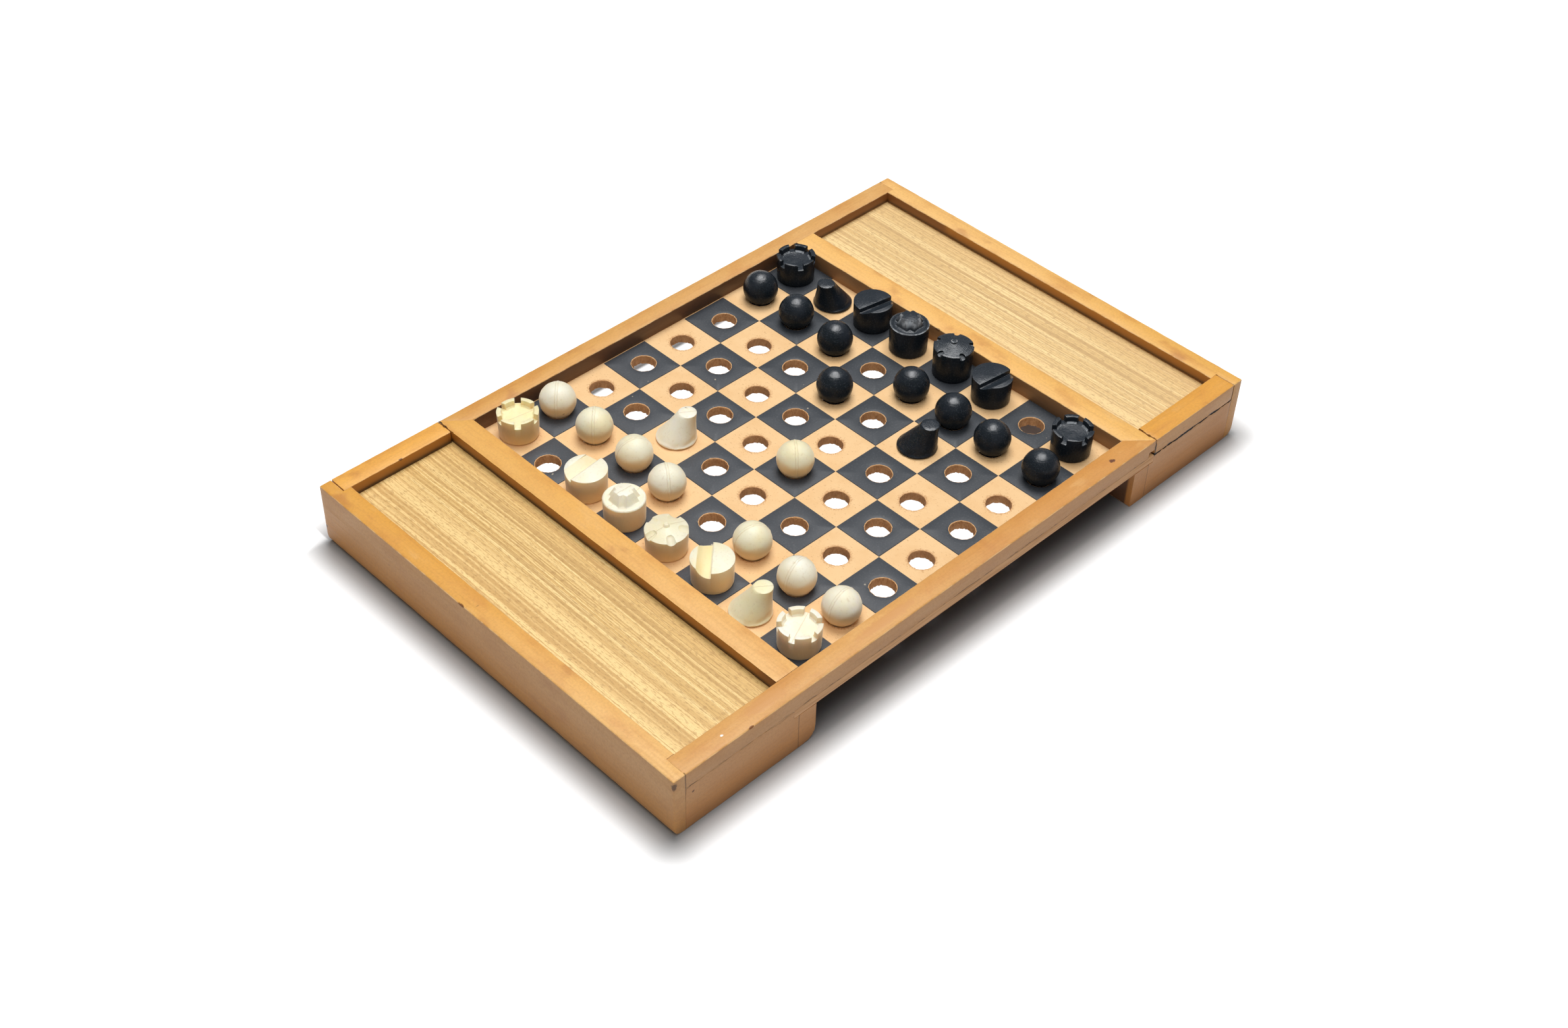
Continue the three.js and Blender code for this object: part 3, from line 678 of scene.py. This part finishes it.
def dress_wood(node):
    """A wooden piece from its solid's shape, its free edges worn round and its faces slightly uneven."""
    bm = bmesh.new()
    bm.from_mesh(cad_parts[node].data)
    bmesh.ops.remove_doubles(bm, verts=bm.verts, dist=WELD)
    bmesh.ops.dissolve_limit(bm, angle_limit=math.radians(1), verts=bm.verts, edges=bm.edges)
    along = WOODS[node][0]
    lowest = min(v.co[along] for v in bm.verts)
    highest = max(v.co[along] for v in bm.verts)
    normal = Vector((0, 0, 0))
    normal[along] = 1
    cuts = int((highest - lowest) / (CUT_STEP * MM))
    for i in range(1, cuts):
        at = Vector((0, 0, 0))
        at[along] = lowest + (highest - lowest) * i / cuts
        geometry = bm.verts[:] + bm.edges[:] + bm.faces[:]
        bmesh.ops.bisect_plane(bm, geom=geometry, plane_co=at, plane_no=normal, dist=WELD)
    weights = bm.edges.layers.float.new("bevel_weight_edge")
    for edge in bm.edges:
        if len(edge.link_faces) == 2 and edge.calc_face_angle() > math.radians(30):
            middle = (edge.verts[0].co + edge.verts[1].co) / 2
            edge[weights] = GLUED_EDGE / FREE_EDGE if is_glued(node, middle) else 1.0
    made = new_object("wood_" + node, mesh_of(bm, node))
    bevel = made.modifiers.new("edge", "BEVEL")
    bevel.width = FREE_EDGE * MM
    bevel.segments = 2
    bevel.limit_method = "WEIGHT"
    applied(made)
    low, high = cad_box
    for v in made.data.vertices:
        uneven = noise.noise_vector(v.co * 90) * 0.05 * MM + noise.noise_vector(v.co * 500) * 0.06 * MM
        moved = v.co + uneven
        v.co = Vector(max(low[i], min(high[i], moved[i])) for i in range(3))
    smooth(made.data, 35)
    made.data.materials.clear()
    made.data.materials.append(make_wood("wood_" + node, *WOODS[node]))
    return made


def ring_quads(bm, lower, upper, material=0):
    count = len(lower)
    for i in range(count):
        j = (i + 1) % count
        face = bm.faces.new((lower[i], lower[j], upper[j], upper[i]))
        face.material_index = material


PER_SIDE = 14
FIELD_HALF = 4 * SQUARE
BARE_TOP = BOARD_TOP - 0.08
PAINT_TOP = BOARD_TOP + 0.08


def square_outline(rank, file, inset):
    """Points round a square's border, drawn in by the inset."""
    half = SQUARE / 2 - inset
    cx = (rank - 3.5) * SQUARE
    cy = (3.5 - file) * SQUARE + FIELD_SHIFT
    corners = [(-half, -half), (half, -half), (half, half), (-half, half)]
    points = []
    for (x0, y0), (x1, y1) in zip(corners, corners[1:] + corners[:1]):
        for i in range(PER_SIDE):
            t = i / PER_SIDE
            points.append((cx + x0 + (x1 - x0) * t, cy + y0 + (y1 - y0) * t))
    return points


def make_board_mesh():
    """The pierced sheet: rings of faces round each hole. The dark squares stand proud."""
    bm = bmesh.new()
    rim = bm.verts.layers.float.new("rim")
    shared = {}

    def vert(x, y, z):
        key = (round(x, 3), round(y, 3), round(z, 3))
        if key not in shared:
            shared[key] = bm.verts.new((x * MM, y * MM, z * MM))
        return shared[key]

    def wavy(rank, file, inset, z):
        made = []
        for x, y in square_outline(rank, file, inset):
            shift = noise.noise_vector(Vector((x * 0.9, y * 0.9, 3 + rank * file)))
            made.append(bm.verts.new(((x + shift.x * 0.07) * MM, (y + shift.y * 0.07) * MM, z * MM)))
        return made

    for rank in range(8):
        for file in range(8):
            hx, hy = hole_centre(rank, file)
            painted = (rank + file) % 2
            outline = square_outline(rank, file, 0)
            angles = [math.atan2(y - hy, x - hx) for x, y in outline]

            def circle(radius, z, fray, worn):
                made = []
                for a in angles:
                    p = Vector((math.cos(a) * 3 + rank * 7, math.sin(a) * 3 + file * 5, z * 0.4))
                    r = radius + fray * noise.noise(p * 2.6) + fray * 0.8 * noise.noise(p * 7)
                    point = bm.verts.new(((hx + r * math.cos(a)) * MM, (hy + r * math.sin(a)) * MM, z * MM))
                    point[rim] = worn
                    made.append(point)
                return made

            border = [vert(x, y, BARE_TOP) for x, y in outline]
            top = PAINT_TOP if painted else BARE_TOP
            loops = [border]
            if painted:
                loops += [wavy(rank, file, 0.12, BARE_TOP), wavy(rank, file, 0.14, top - 0.03)]
                loops += [wavy(rank, file, 0.2, top)]
            faces_before = len(loops) - 1
            loops += [
                circle(HOLE_RADIUS + 1.7, top, 0.0, 0.0),
                circle(HOLE_RADIUS + 0.3, top, 0.12, 0.75),
                circle(HOLE_RADIUS + 0.1, top - 0.1, 0.16, 1.0),
                circle(HOLE_RADIUS, top - 0.45, 0.1, 1.0),
                circle(HOLE_RADIUS, BOARD_BOTTOM + 0.5, 0.1, 1.0),
                circle(HOLE_RADIUS - 0.06, BOARD_BOTTOM + 0.12, 0.3, 1.0),
                circle(HOLE_RADIUS + 0.25, BOARD_BOTTOM, 0.2, 1.0),
                [vert(x, y, BOARD_BOTTOM) for x, y in outline],
            ]
            for i, (lower, upper) in enumerate(zip(loops, loops[1:])):
                is_paint = painted and i < faces_before + 2
                ring_quads(bm, lower, upper, 1 if is_paint else 0)

    def field(shift, z):
        made = []
        for cx, cy, dx, dy in ((-1, -1, 1, 0), (1, -1, 0, 1), (1, 1, -1, 0), (-1, 1, 0, -1)):
            for i in range(PER_SIDE * 8):
                t = 2 * FIELD_HALF * i / (PER_SIDE * 8)
                made.append((cx * FIELD_HALF + dx * t, cy * FIELD_HALF + dy * t + shift, z))
        return made

    def outer(size, z):
        ring = [(x * size / FIELD_HALF * MM, y * size / FIELD_HALF * MM, z * MM) for x, y, _ in field(0, z)]
        return [bm.verts.new(point) for point in ring]

    loops = [
        [vert(*p) for p in field(FIELD_SHIFT, BARE_TOP)],
        outer(HALF_BOARD - 0.1, BARE_TOP),
        outer(HALF_BOARD, BOARD_TOP - 0.2),
        outer(HALF_BOARD, BOARD_BOTTOM + 0.3),
        outer(HALF_BOARD - 0.3, BOARD_BOTTOM),
        [vert(*p) for p in field(FIELD_SHIFT, BOARD_BOTTOM)],
    ]
    for lower, upper in zip(loops, loops[1:]):
        ring_quads(bm, lower, upper)
    mesh = mesh_of(bm, "board")
    smooth(mesh, SHARP)
    return mesh


TURNED = 72
SLOT_REACH = 9


def even_angles(count):
    return [2 * math.pi * i / count for i in range(count)]


def seam_angles():
    """Angles round a ball, closer together at the seam along X."""
    degrees = []
    for start in (0, 180):
        degrees += [start, start + 1.2, start + 2.4, start + 4.5]
        degrees += [start + a for a in range(9, 172, 6)]
        degrees += [start + 175.5, start + 177.6, start + 178.8]
    return [math.radians(a) for a in degrees]


def lathe(profile, angles):
    """A solid of revolution about Z, in millimetres. Its profile starts and ends on the axis."""
    bm = bmesh.new()
    count = len(angles)
    rings = []
    for r, z in profile:
        if r == 0:
            rings.append([bm.verts.new((0, 0, z * MM))])
        else:
            ring = [(r * math.cos(a) * MM, r * math.sin(a) * MM, z * MM) for a in angles]
            rings.append([bm.verts.new(point) for point in ring])
    for lower, upper in zip(rings, rings[1:]):
        if len(lower) == 1:
            for i in range(count):
                bm.faces.new((lower[0], upper[(i + 1) % count], upper[i]))
        elif len(upper) == 1:
            for i in range(count):
                bm.faces.new((lower[i], lower[(i + 1) % count], upper[0]))
        else:
            ring_quads(bm, lower, upper)
    return bm


def prism(points, low, high, turn=None):
    """An upright prism over an outline, turned by a matrix when one is given, in millimetres."""
    bm = bmesh.new()
    bottom = [bm.verts.new((x * MM, y * MM, low * MM)) for x, y in points]
    top = [bm.verts.new((x * MM, y * MM, high * MM)) for x, y in points]
    bm.faces.new(bottom[::-1])
    bm.faces.new(top)
    ring_quads(bm, bottom, top)
    if turn is not None:
        bmesh.ops.transform(bm, matrix=turn, verts=bm.verts)
    return bm


def carve(body, tools, operation="DIFFERENCE", edge=0.25, segments=2, angle=35):
    """Cuts or joins the tools, then rounds the edges."""
    made = new_object("work", mesh_of(body, "work"))
    others = []
    for tool in tools:
        other = new_object("tool", mesh_of(tool, "tool"))
        others.append(other)
        modifier = made.modifiers.new("cut", "BOOLEAN")
        modifier.operation = operation
        modifier.solver = "EXACT"
        modifier.object = other
    applied(made)
    for other in others:
        bpy.data.objects.remove(other)
    bm = bmesh.new()
    bm.from_mesh(made.data)
    bmesh.ops.remove_doubles(bm, verts=bm.verts, dist=2e-5)
    bmesh.ops.dissolve_limit(bm, angle_limit=math.radians(1), verts=bm.verts, edges=bm.edges)
    bm.to_mesh(made.data)
    bm.free()
    modifier = made.modifiers.new("edge", "BEVEL")
    modifier.width = edge * MM
    modifier.segments = segments
    modifier.limit_method = "ANGLE"
    modifier.angle_limit = math.radians(angle)
    applied(made)
    mesh = made.data
    bpy.data.objects.remove(made)
    return mesh


def body_profile(top):
    return [
        (0, -PEG_LENGTH),
        (PEG_RADIUS - 0.4, -PEG_LENGTH),
        (PEG_RADIUS, -PEG_LENGTH + 0.4),
        (PEG_RADIUS, 0.05),
        (BASE_RADIUS - 0.7, 0.05),
        (BASE_RADIUS - 0.2, 0.25),
        (BASE_RADIUS, 0.8),
        *top,
    ]


def make_rook(rims):
    rim = rims["castle"]
    well = rim - 2.2
    top = [(CROWN_RADIUS, rim), (5.3, rim), (5.1, well + 0.5), (4.6, well), (0, well)]
    body = lathe(body_profile(top), even_angles(TURNED))
    tools = []
    for i in range(3):
        turn = Matrix.Rotation(math.pi * i / 3, 4, "Z")
        half = 0.95 + 0.08 * i
        points = [(-SLOT_REACH, -half), (SLOT_REACH, -half), (SLOT_REACH, half), (-SLOT_REACH, half)]
        tools.append(prism(points, well + 0.05 * i, rim + 2, turn))
    return carve(body, tools)


def make_bishop(rims, lean=0.0, hollow=1.4):
    """A drum with a groove along X, its wall on one side. The groove deepens along X by the lean."""
    rim = rims["castle"]
    body = lathe(body_profile([(CROWN_RADIUS, rim), (0, rim)]), even_angles(TURNED))
    depth = 1.7
    floor = rim - depth
    start, width = (1.5, 3.3) if lean == 0 else (0.4, 4.2)
    points = [(start - 0.3, 14), (start - 0.3, floor + 0.1), (start, floor)]
    for i in range(1, 9):
        t = i / 8
        points.append((start + width * t, floor + depth * t**hollow))
    points.append((start + width, 14))
    turn = Matrix.Rotation(math.pi / 2, 4, "Z") @ Matrix.Rotation(math.pi / 2, 4, "X")
    sheared = Matrix.Identity(4)
    sheared[2][0] = -lean
    return carve(body, [prism(points, -SLOT_REACH, SLOT_REACH, sheared @ turn)])


def make_queen(rims):
    """A drum with a crown of four flat-faced points, notched between them."""
    rim = rims["queen"]
    rolled = [(CROWN_RADIUS, rim - 0.6), (6.6, rim - 0.22), (6.3, rim), (5.9, rim)]
    rolled += [(5.3, rim - 0.35), (0, rim - 0.4)]
    body = lathe(body_profile(rolled), even_angles(TURNED))
    bm = bmesh.new()

    def crown(corner, spread, notch, z):
        made = []
        for i in range(4):
            for offset, r in ((-spread, corner), (spread, corner), (45, notch)):
                a = math.radians(90 * i + offset)
                made.append(bm.verts.new((r * math.cos(a) * MM, r * math.sin(a) * MM, z * MM)))
        return made

    inner = 3.6 if rims is RIMS["white"] else 3.5
    rings = [crown(5.05, 31, inner + 0.35, rim - 0.7), crown(4.75, 30, inner, rim + 0.15)]
    rings.append(crown(3.2, 26, inner - 1.3, rim + 3.05))
    bm.faces.new(rings[0][::-1])
    bm.faces.new(rings[-1])
    for lower, upper in zip(rings, rings[1:]):
        ring_quads(bm, lower, upper)
    return carve(body, [bm], "UNION", edge=0.16, angle=18)


def make_king(rims):
    """A drum with a low cone and a pip on it, and five scoops out of its rim."""
    rim = rims["king"]
    white = rims is RIMS["white"]
    top = [(CROWN_RADIUS, rim)]
    steps = 1 if white else 11
    for i in range(1, steps + 1):
        r = CROWN_RADIUS + (1.1 - CROWN_RADIUS) * i / steps
        z = rim + 1.4 * i / steps
        top.append((r, z))
        if not white:
            top.append((r - 0.12, z + 0.02))
            top.append((r - 0.16, z + 0.1))
    pip = 0.85 if white else 1.05
    top += [(pip, rim + 1.9), (pip * 0.7, rim + 2.15), (0, rim + 2.15)]
    body = lathe(body_profile(top), even_angles(TURNED))
    tools = []
    for i in range(5):
        radius = (1.95, 1.7, 1.85, 1.7, 1.95)[i] if white else (1.0, 1.1, 0.95, 1.05, 1.0)[i]
        reach = -3.2 if white else -2.0
        profile = [(0, reach), (radius * 0.5, reach + 0.15), (radius * 0.85, reach + 0.6)]
        profile += [(radius, reach + 1.3), (radius, 4), (0, 4)]
        tool = lathe(profile, even_angles(24))
        dip = math.radians(90 + 20 if white else 90 + 5)
        centre = rim + 0.9 if white else rim - 0.35
        place = Matrix.Translation((CROWN_RADIUS * MM, 0, centre * MM)) @ Matrix.Rotation(dip, 4, "Y")
        turn = Matrix.Rotation(2 * math.pi * i / 5, 4, "Z") @ place
        bmesh.ops.transform(tool, matrix=turn, verts=tool.verts)
        tools.append(tool)
    return carve(body, tools, edge=0.22 if white else 0.1, angle=28)


def make_knight(rims):
    """A leaning cone with a ragged foot. It is the same for both sides, so the rims go unused."""
    bm = bmesh.new()
    rings = []
    foot, top = 6.6, 2.95
    levels = [(foot - 0.9, 0.05), (foot - 0.25, 0.2), (foot, 0.45), (foot, 0.8), (foot - 0.2, 1.05)]
    steps = 14
    for i in range(steps):
        t = i / steps
        hollow = 0.3 * math.sin(math.pi * t) + 0.35 * (1 - t) ** 6
        levels.append((foot + (top - foot) * t - hollow, 1.25 + (KNIGHT_HEIGHT - 1.4) * t))
    levels += [(top, KNIGHT_HEIGHT - 0.12), (top - 0.25, KNIGHT_HEIGHT), (top * 0.5, KNIGHT_HEIGHT + 0.05)]
    for level, (r, z) in enumerate(levels):
        shift = KNIGHT_LEAN * max(0.0, min(1.0, (z - 1.0) / (KNIGHT_HEIGHT - 1.0)))
        ring = []
        for a in even_angles(TURNED):
            torn = noise.noise(Vector((math.cos(a) * 2.2, math.sin(a) * 2.2, z * 0.8 + 4)))
            lip = 0.35 if 2 <= level <= 7 else 0.08
            raised = z + (0.4 * torn if 3 <= level <= 6 else 0)
            rr = r + lip * min(0.0, torn + 0.1) - (0.25 * max(0, torn) if level in (5, 6) else 0)
            ring.append(bm.verts.new(((shift + rr * math.cos(a)) * MM, rr * math.sin(a) * MM, raised * MM)))
        rings.append(ring)
    for lower, upper in zip(rings, rings[1:]):
        ring_quads(bm, lower, upper)
    bm.faces.new(rings[0][::-1])
    bm.faces.new(rings[-1])
    peg = [(0, -PEG_LENGTH), (3.2, -PEG_LENGTH), (PEG_RADIUS, -6.1), (PEG_RADIUS, 0.3), (0, 0.3)]
    bm.from_mesh(mesh_of(lathe(peg, even_angles(40)), "peg"))
    return mesh_of(bm, "knight")


def make_pawn(rims):
    """A ball on a peg. The mould's seam stands proud round the white ones."""
    centre = math.sqrt(BALL_RADIUS**2 - HOLE_RADIUS**2) + BALL_SEAT_GAP
    start = -math.acos(PEG_RADIUS / BALL_RADIUS)
    profile = [(0, -PEG_LENGTH), (PEG_RADIUS - 0.4, -PEG_LENGTH), (PEG_RADIUS, -PEG_LENGTH + 0.4)]
    steps = 34
    for i in range(steps):
        a = start + (math.pi / 2 - start) * i / steps
        profile.append((BALL_RADIUS * math.cos(a), centre + BALL_RADIUS * math.sin(a)))
    profile.append((0, centre + BALL_RADIUS))
    bm = lathe(profile, seam_angles())
    middle = Vector((0, 0, centre * MM))
    height = 0.2 if rims is RIMS["white"] else 0.0
    top = max(v.co.z for v in bm.verts)
    for v in bm.verts:
        out = v.co - middle
        if v.co.z > 0.1 * MM:
            off = abs(out.y) / MM
            rough = 0.75 + 0.5 * noise.noise(v.co / MM * 1.3)
            ridge = height * rough * (math.exp(-((off / 0.3) ** 2)) - 0.35 * math.exp(-((off / 0.75) ** 2)))
            uneven = 0.08 * noise.noise(v.co / MM * 0.45)
            tip = 0.32 if v.co.z > top - 0.001 * MM and height else 0
            v.co = middle + out * (1 + (ridge + uneven + tip) / BALL_RADIUS)
    return mesh_of(bm, "pawn")


MAKERS = {"rook": make_rook, "bishop": make_bishop, "queen": make_queen, "king": make_king}
MAKERS.update({"knight": make_knight, "pawn": make_pawn})

board = new_object("pierced_board", make_board_mesh())
board.data.materials.append(make_bare_board())
board.data.materials.append(make_painted_board())
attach(board, "frame")
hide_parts("playing_board")

# Solids that keep their own shape and get a new material only
KEPT = ("cross_wall_white", "cross_wall_black", "floor_white", "floor_black")
for node in WOODS:
    if node in KEPT:
        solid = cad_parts[node]
        solid.data.materials.clear()
        solid.data.materials.append(make_wood("wood_" + node, *WOODS[node]))
        continue
    piece = dress_wood(node)
    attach(piece, {"lid_strip_white": "lid_white", "lid_strip_black": "lid_black"}.get(node, "frame"))
    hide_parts(node)

VENEERS = {"lid_panel_white": (1.7, 0.1025, 0.1060, 0.0), "lid_panel_black": (7.3, 0.0925, 0.0905, 0.12)}
for node, settings in VENEERS.items():
    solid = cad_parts[node]
    solid.data.materials.clear()
    solid.data.materials.append(make_veneer("veneer_" + node, *settings))

charcoal = {kind: make_black_plastic("charcoal_" + kind, kind not in ("pawn", "knight")) for kind in MAKERS}
shapes = {(side, kind): maker(RIMS[side]) for side in RIMS for kind, maker in MAKERS.items()}
SEED_STEP = 1.37
own_shapes = {
    "white_bishop_1": make_bishop(RIMS["white"], 0.07),
    "white_bishop_2": make_bishop(RIMS["white"], -0.07, 3.0),
}
for number, (node, kind, rank, file, turn, yellow) in enumerate(MEN):
    side = node.split("_")[0]
    x, y = hole_centre(rank, file)
    piece = new_object("moulded_" + node, own_shapes.get(node, shapes[side, kind]).copy())
    piece.location = (x * MM, y * MM, BOARD_TOP * MM)
    piece.rotation_euler = (0, 0, math.radians(turn))
    smooth(piece.data, SHARP)
    piece.data.materials.clear()
    plastic = charcoal[kind]
    if side == "white":
        plastic = make_white_plastic("ivory_" + node, kind, yellow, number * SEED_STEP)
    piece.data.materials.append(plastic)
    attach(piece, node)
    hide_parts(node)


# Light and floor
def only_seen(g, seen, otherwise):
    """One shader for the camera, reflections and see-through rays, another for the rest."""
    path = g.node("LightPath").outputs
    shown = g.math("MAXIMUM", path["Is Glossy Ray"], path["Is Transmission Ray"])
    rays = g.math("MAXIMUM", path["Is Camera Ray"], shown)
    made = g.node("MixShader")
    g.feed(made.inputs[0], rays)
    g.feed(made.inputs[1], otherwise)
    g.feed(made.inputs[2], seen)
    return made.outputs[0]


WORLD_STRENGTH = 0.08
world = bpy.data.worlds.new("studio")
bpy.context.scene.world = world
world.use_nodes = True
world.node_tree.nodes["Background"].inputs["Color"].default_value = (1, 1, 1, 1)
world.node_tree.nodes["Background"].inputs["Strength"].default_value = WORLD_STRENGTH


LAMP_DISTANCE = 1.5


def soft_light(name, energy, size, elevation, azimuth, mirrored=True):
    lamp = bpy.data.objects.new(name, bpy.data.lights.new(name, "AREA"))
    lamp.data.shape = "SQUARE"
    lamp.data.size = size
    lamp.data.energy = energy
    flat = math.cos(math.radians(elevation))
    around = math.radians(azimuth)
    toward = Vector((flat * math.cos(around), flat * math.sin(around), math.sin(math.radians(elevation))))
    lamp.location = toward * LAMP_DISTANCE
    lamp.visible_glossy = mirrored
    lamp.rotation_euler = toward.to_track_quat("Z", "Y").to_euler()
    bpy.context.scene.collection.objects.link(lamp)


soft_light("key", energy=18.0, size=0.85, elevation=75, azimuth=40)
soft_light("front", energy=8.2, size=0.9, elevation=62, azimuth=225, mirrored=False)

# Distances that shape what the camera sees on the floor, in metres
FLOOR_REACH = 40.0
HALF_LENGTH = 0.125
HALF_WIDTH = 0.080
SHADOW_FADE = (0.002, 0.013)
PAINTED_SHADOW_EDGE = (-0.007, 0.005)
PAINTED_CONTACT_SHADOW = (0.0, 0.0025)
FAR_OUT = (0.3, 1.2)
UNDER_LENGTH = (0.0700, 0.0708)
UNDER_NEAR = (-0.0695, -0.0675)
UNDER_FAR = (0.0780, 0.0800)
LEFT_OF_CORNER = (-0.1250, -0.1242)
BEHIND_CORNER = (0.0795, 0.0822)


def make_floor_material():
    """Pale and matt. The camera sees a painted shadow that fades to white, and a painted glow that makes it
    white below the board and just past the far left corner.
    """
    g = Graph("floor")
    x, y, _ = g.split(g.place())
    past_x = g.minus(g.absolute(x), HALF_LENGTH)
    past_y = g.minus(g.absolute(y), HALF_WIDTH)
    corner_x = g.highest(past_x, 0.0)
    corner_y = g.highest(past_y, 0.0)
    corner = g.math("SQRT", g.math("MULTIPLY_ADD", corner_x, corner_x, g.times(corner_y, corner_y)))
    past = g.plus(corner, g.math("MINIMUM", g.highest(past_x, past_y), 0.0))
    below = g.times(g.ramp(y, *UNDER_NEAR), g.ramp(y, *UNDER_FAR, 1, 0))
    below = g.times(g.ramp(g.absolute(x), *UNDER_LENGTH, 1, 0), below)
    by_corner = g.times(g.ramp(x, *LEFT_OF_CORNER, 1, 0), g.ramp(y, *BEHIND_CORNER))
    # Painted light: the glow is held back near the set, which paints its shadow, and whitens the floor below
    # the board and just past the far left corner
    boost = g.plus(g.ramp(past, *SHADOW_FADE, 0, 0.6), g.times(below, 1.2))
    boost = g.plus(boost, g.ramp(past, *FAR_OUT, 0, 0.5), g.times(by_corner, 0.4))
    # Painted shadow: the floor's colour darkens under and round the set, and a dark contact shadow runs along
    # its foot
    tone = g.mix(g.ramp(past, *PAINTED_SHADOW_EDGE), (0.135, 0.150, 0.170, 1), (0.62, 0.62, 0.62, 1))
    tone = g.mix(g.ramp(past, *PAINTED_CONTACT_SHADOW, 0.25, 0), tone, (0, 0, 0, 1))
    surface = g.node("BsdfDiffuse")
    g.feed(surface.inputs["Color"], tone)
    glow = g.node("Emission")
    g.feed(glow.inputs["Strength"], boost)
    both = g.node("AddShader")
    g.feed(both.inputs[0], surface.outputs[0])
    g.feed(both.inputs[1], glow.outputs[0])
    pale = g.node("BsdfDiffuse")
    pale.inputs["Color"].default_value = (0.7, 0.7, 0.7, 1)
    output = g.node("OutputMaterial")
    g.feed(output.inputs["Surface"], only_seen(g, both.outputs[0], pale.outputs[0]))
    return g.material


floor_mesh = bpy.data.meshes.new("floor")
floor_corners = [(x * FLOOR_REACH, y * FLOOR_REACH, 0) for x, y in ((-1, -1), (1, -1), (1, 1), (-1, 1))]
floor_mesh.from_pydata(floor_corners, [], [(0, 1, 2, 3)])
floor_mesh.materials.append(make_floor_material())
floor = new_object("floor", floor_mesh)

bpy.context.scene.view_settings.view_transform = "Standard"
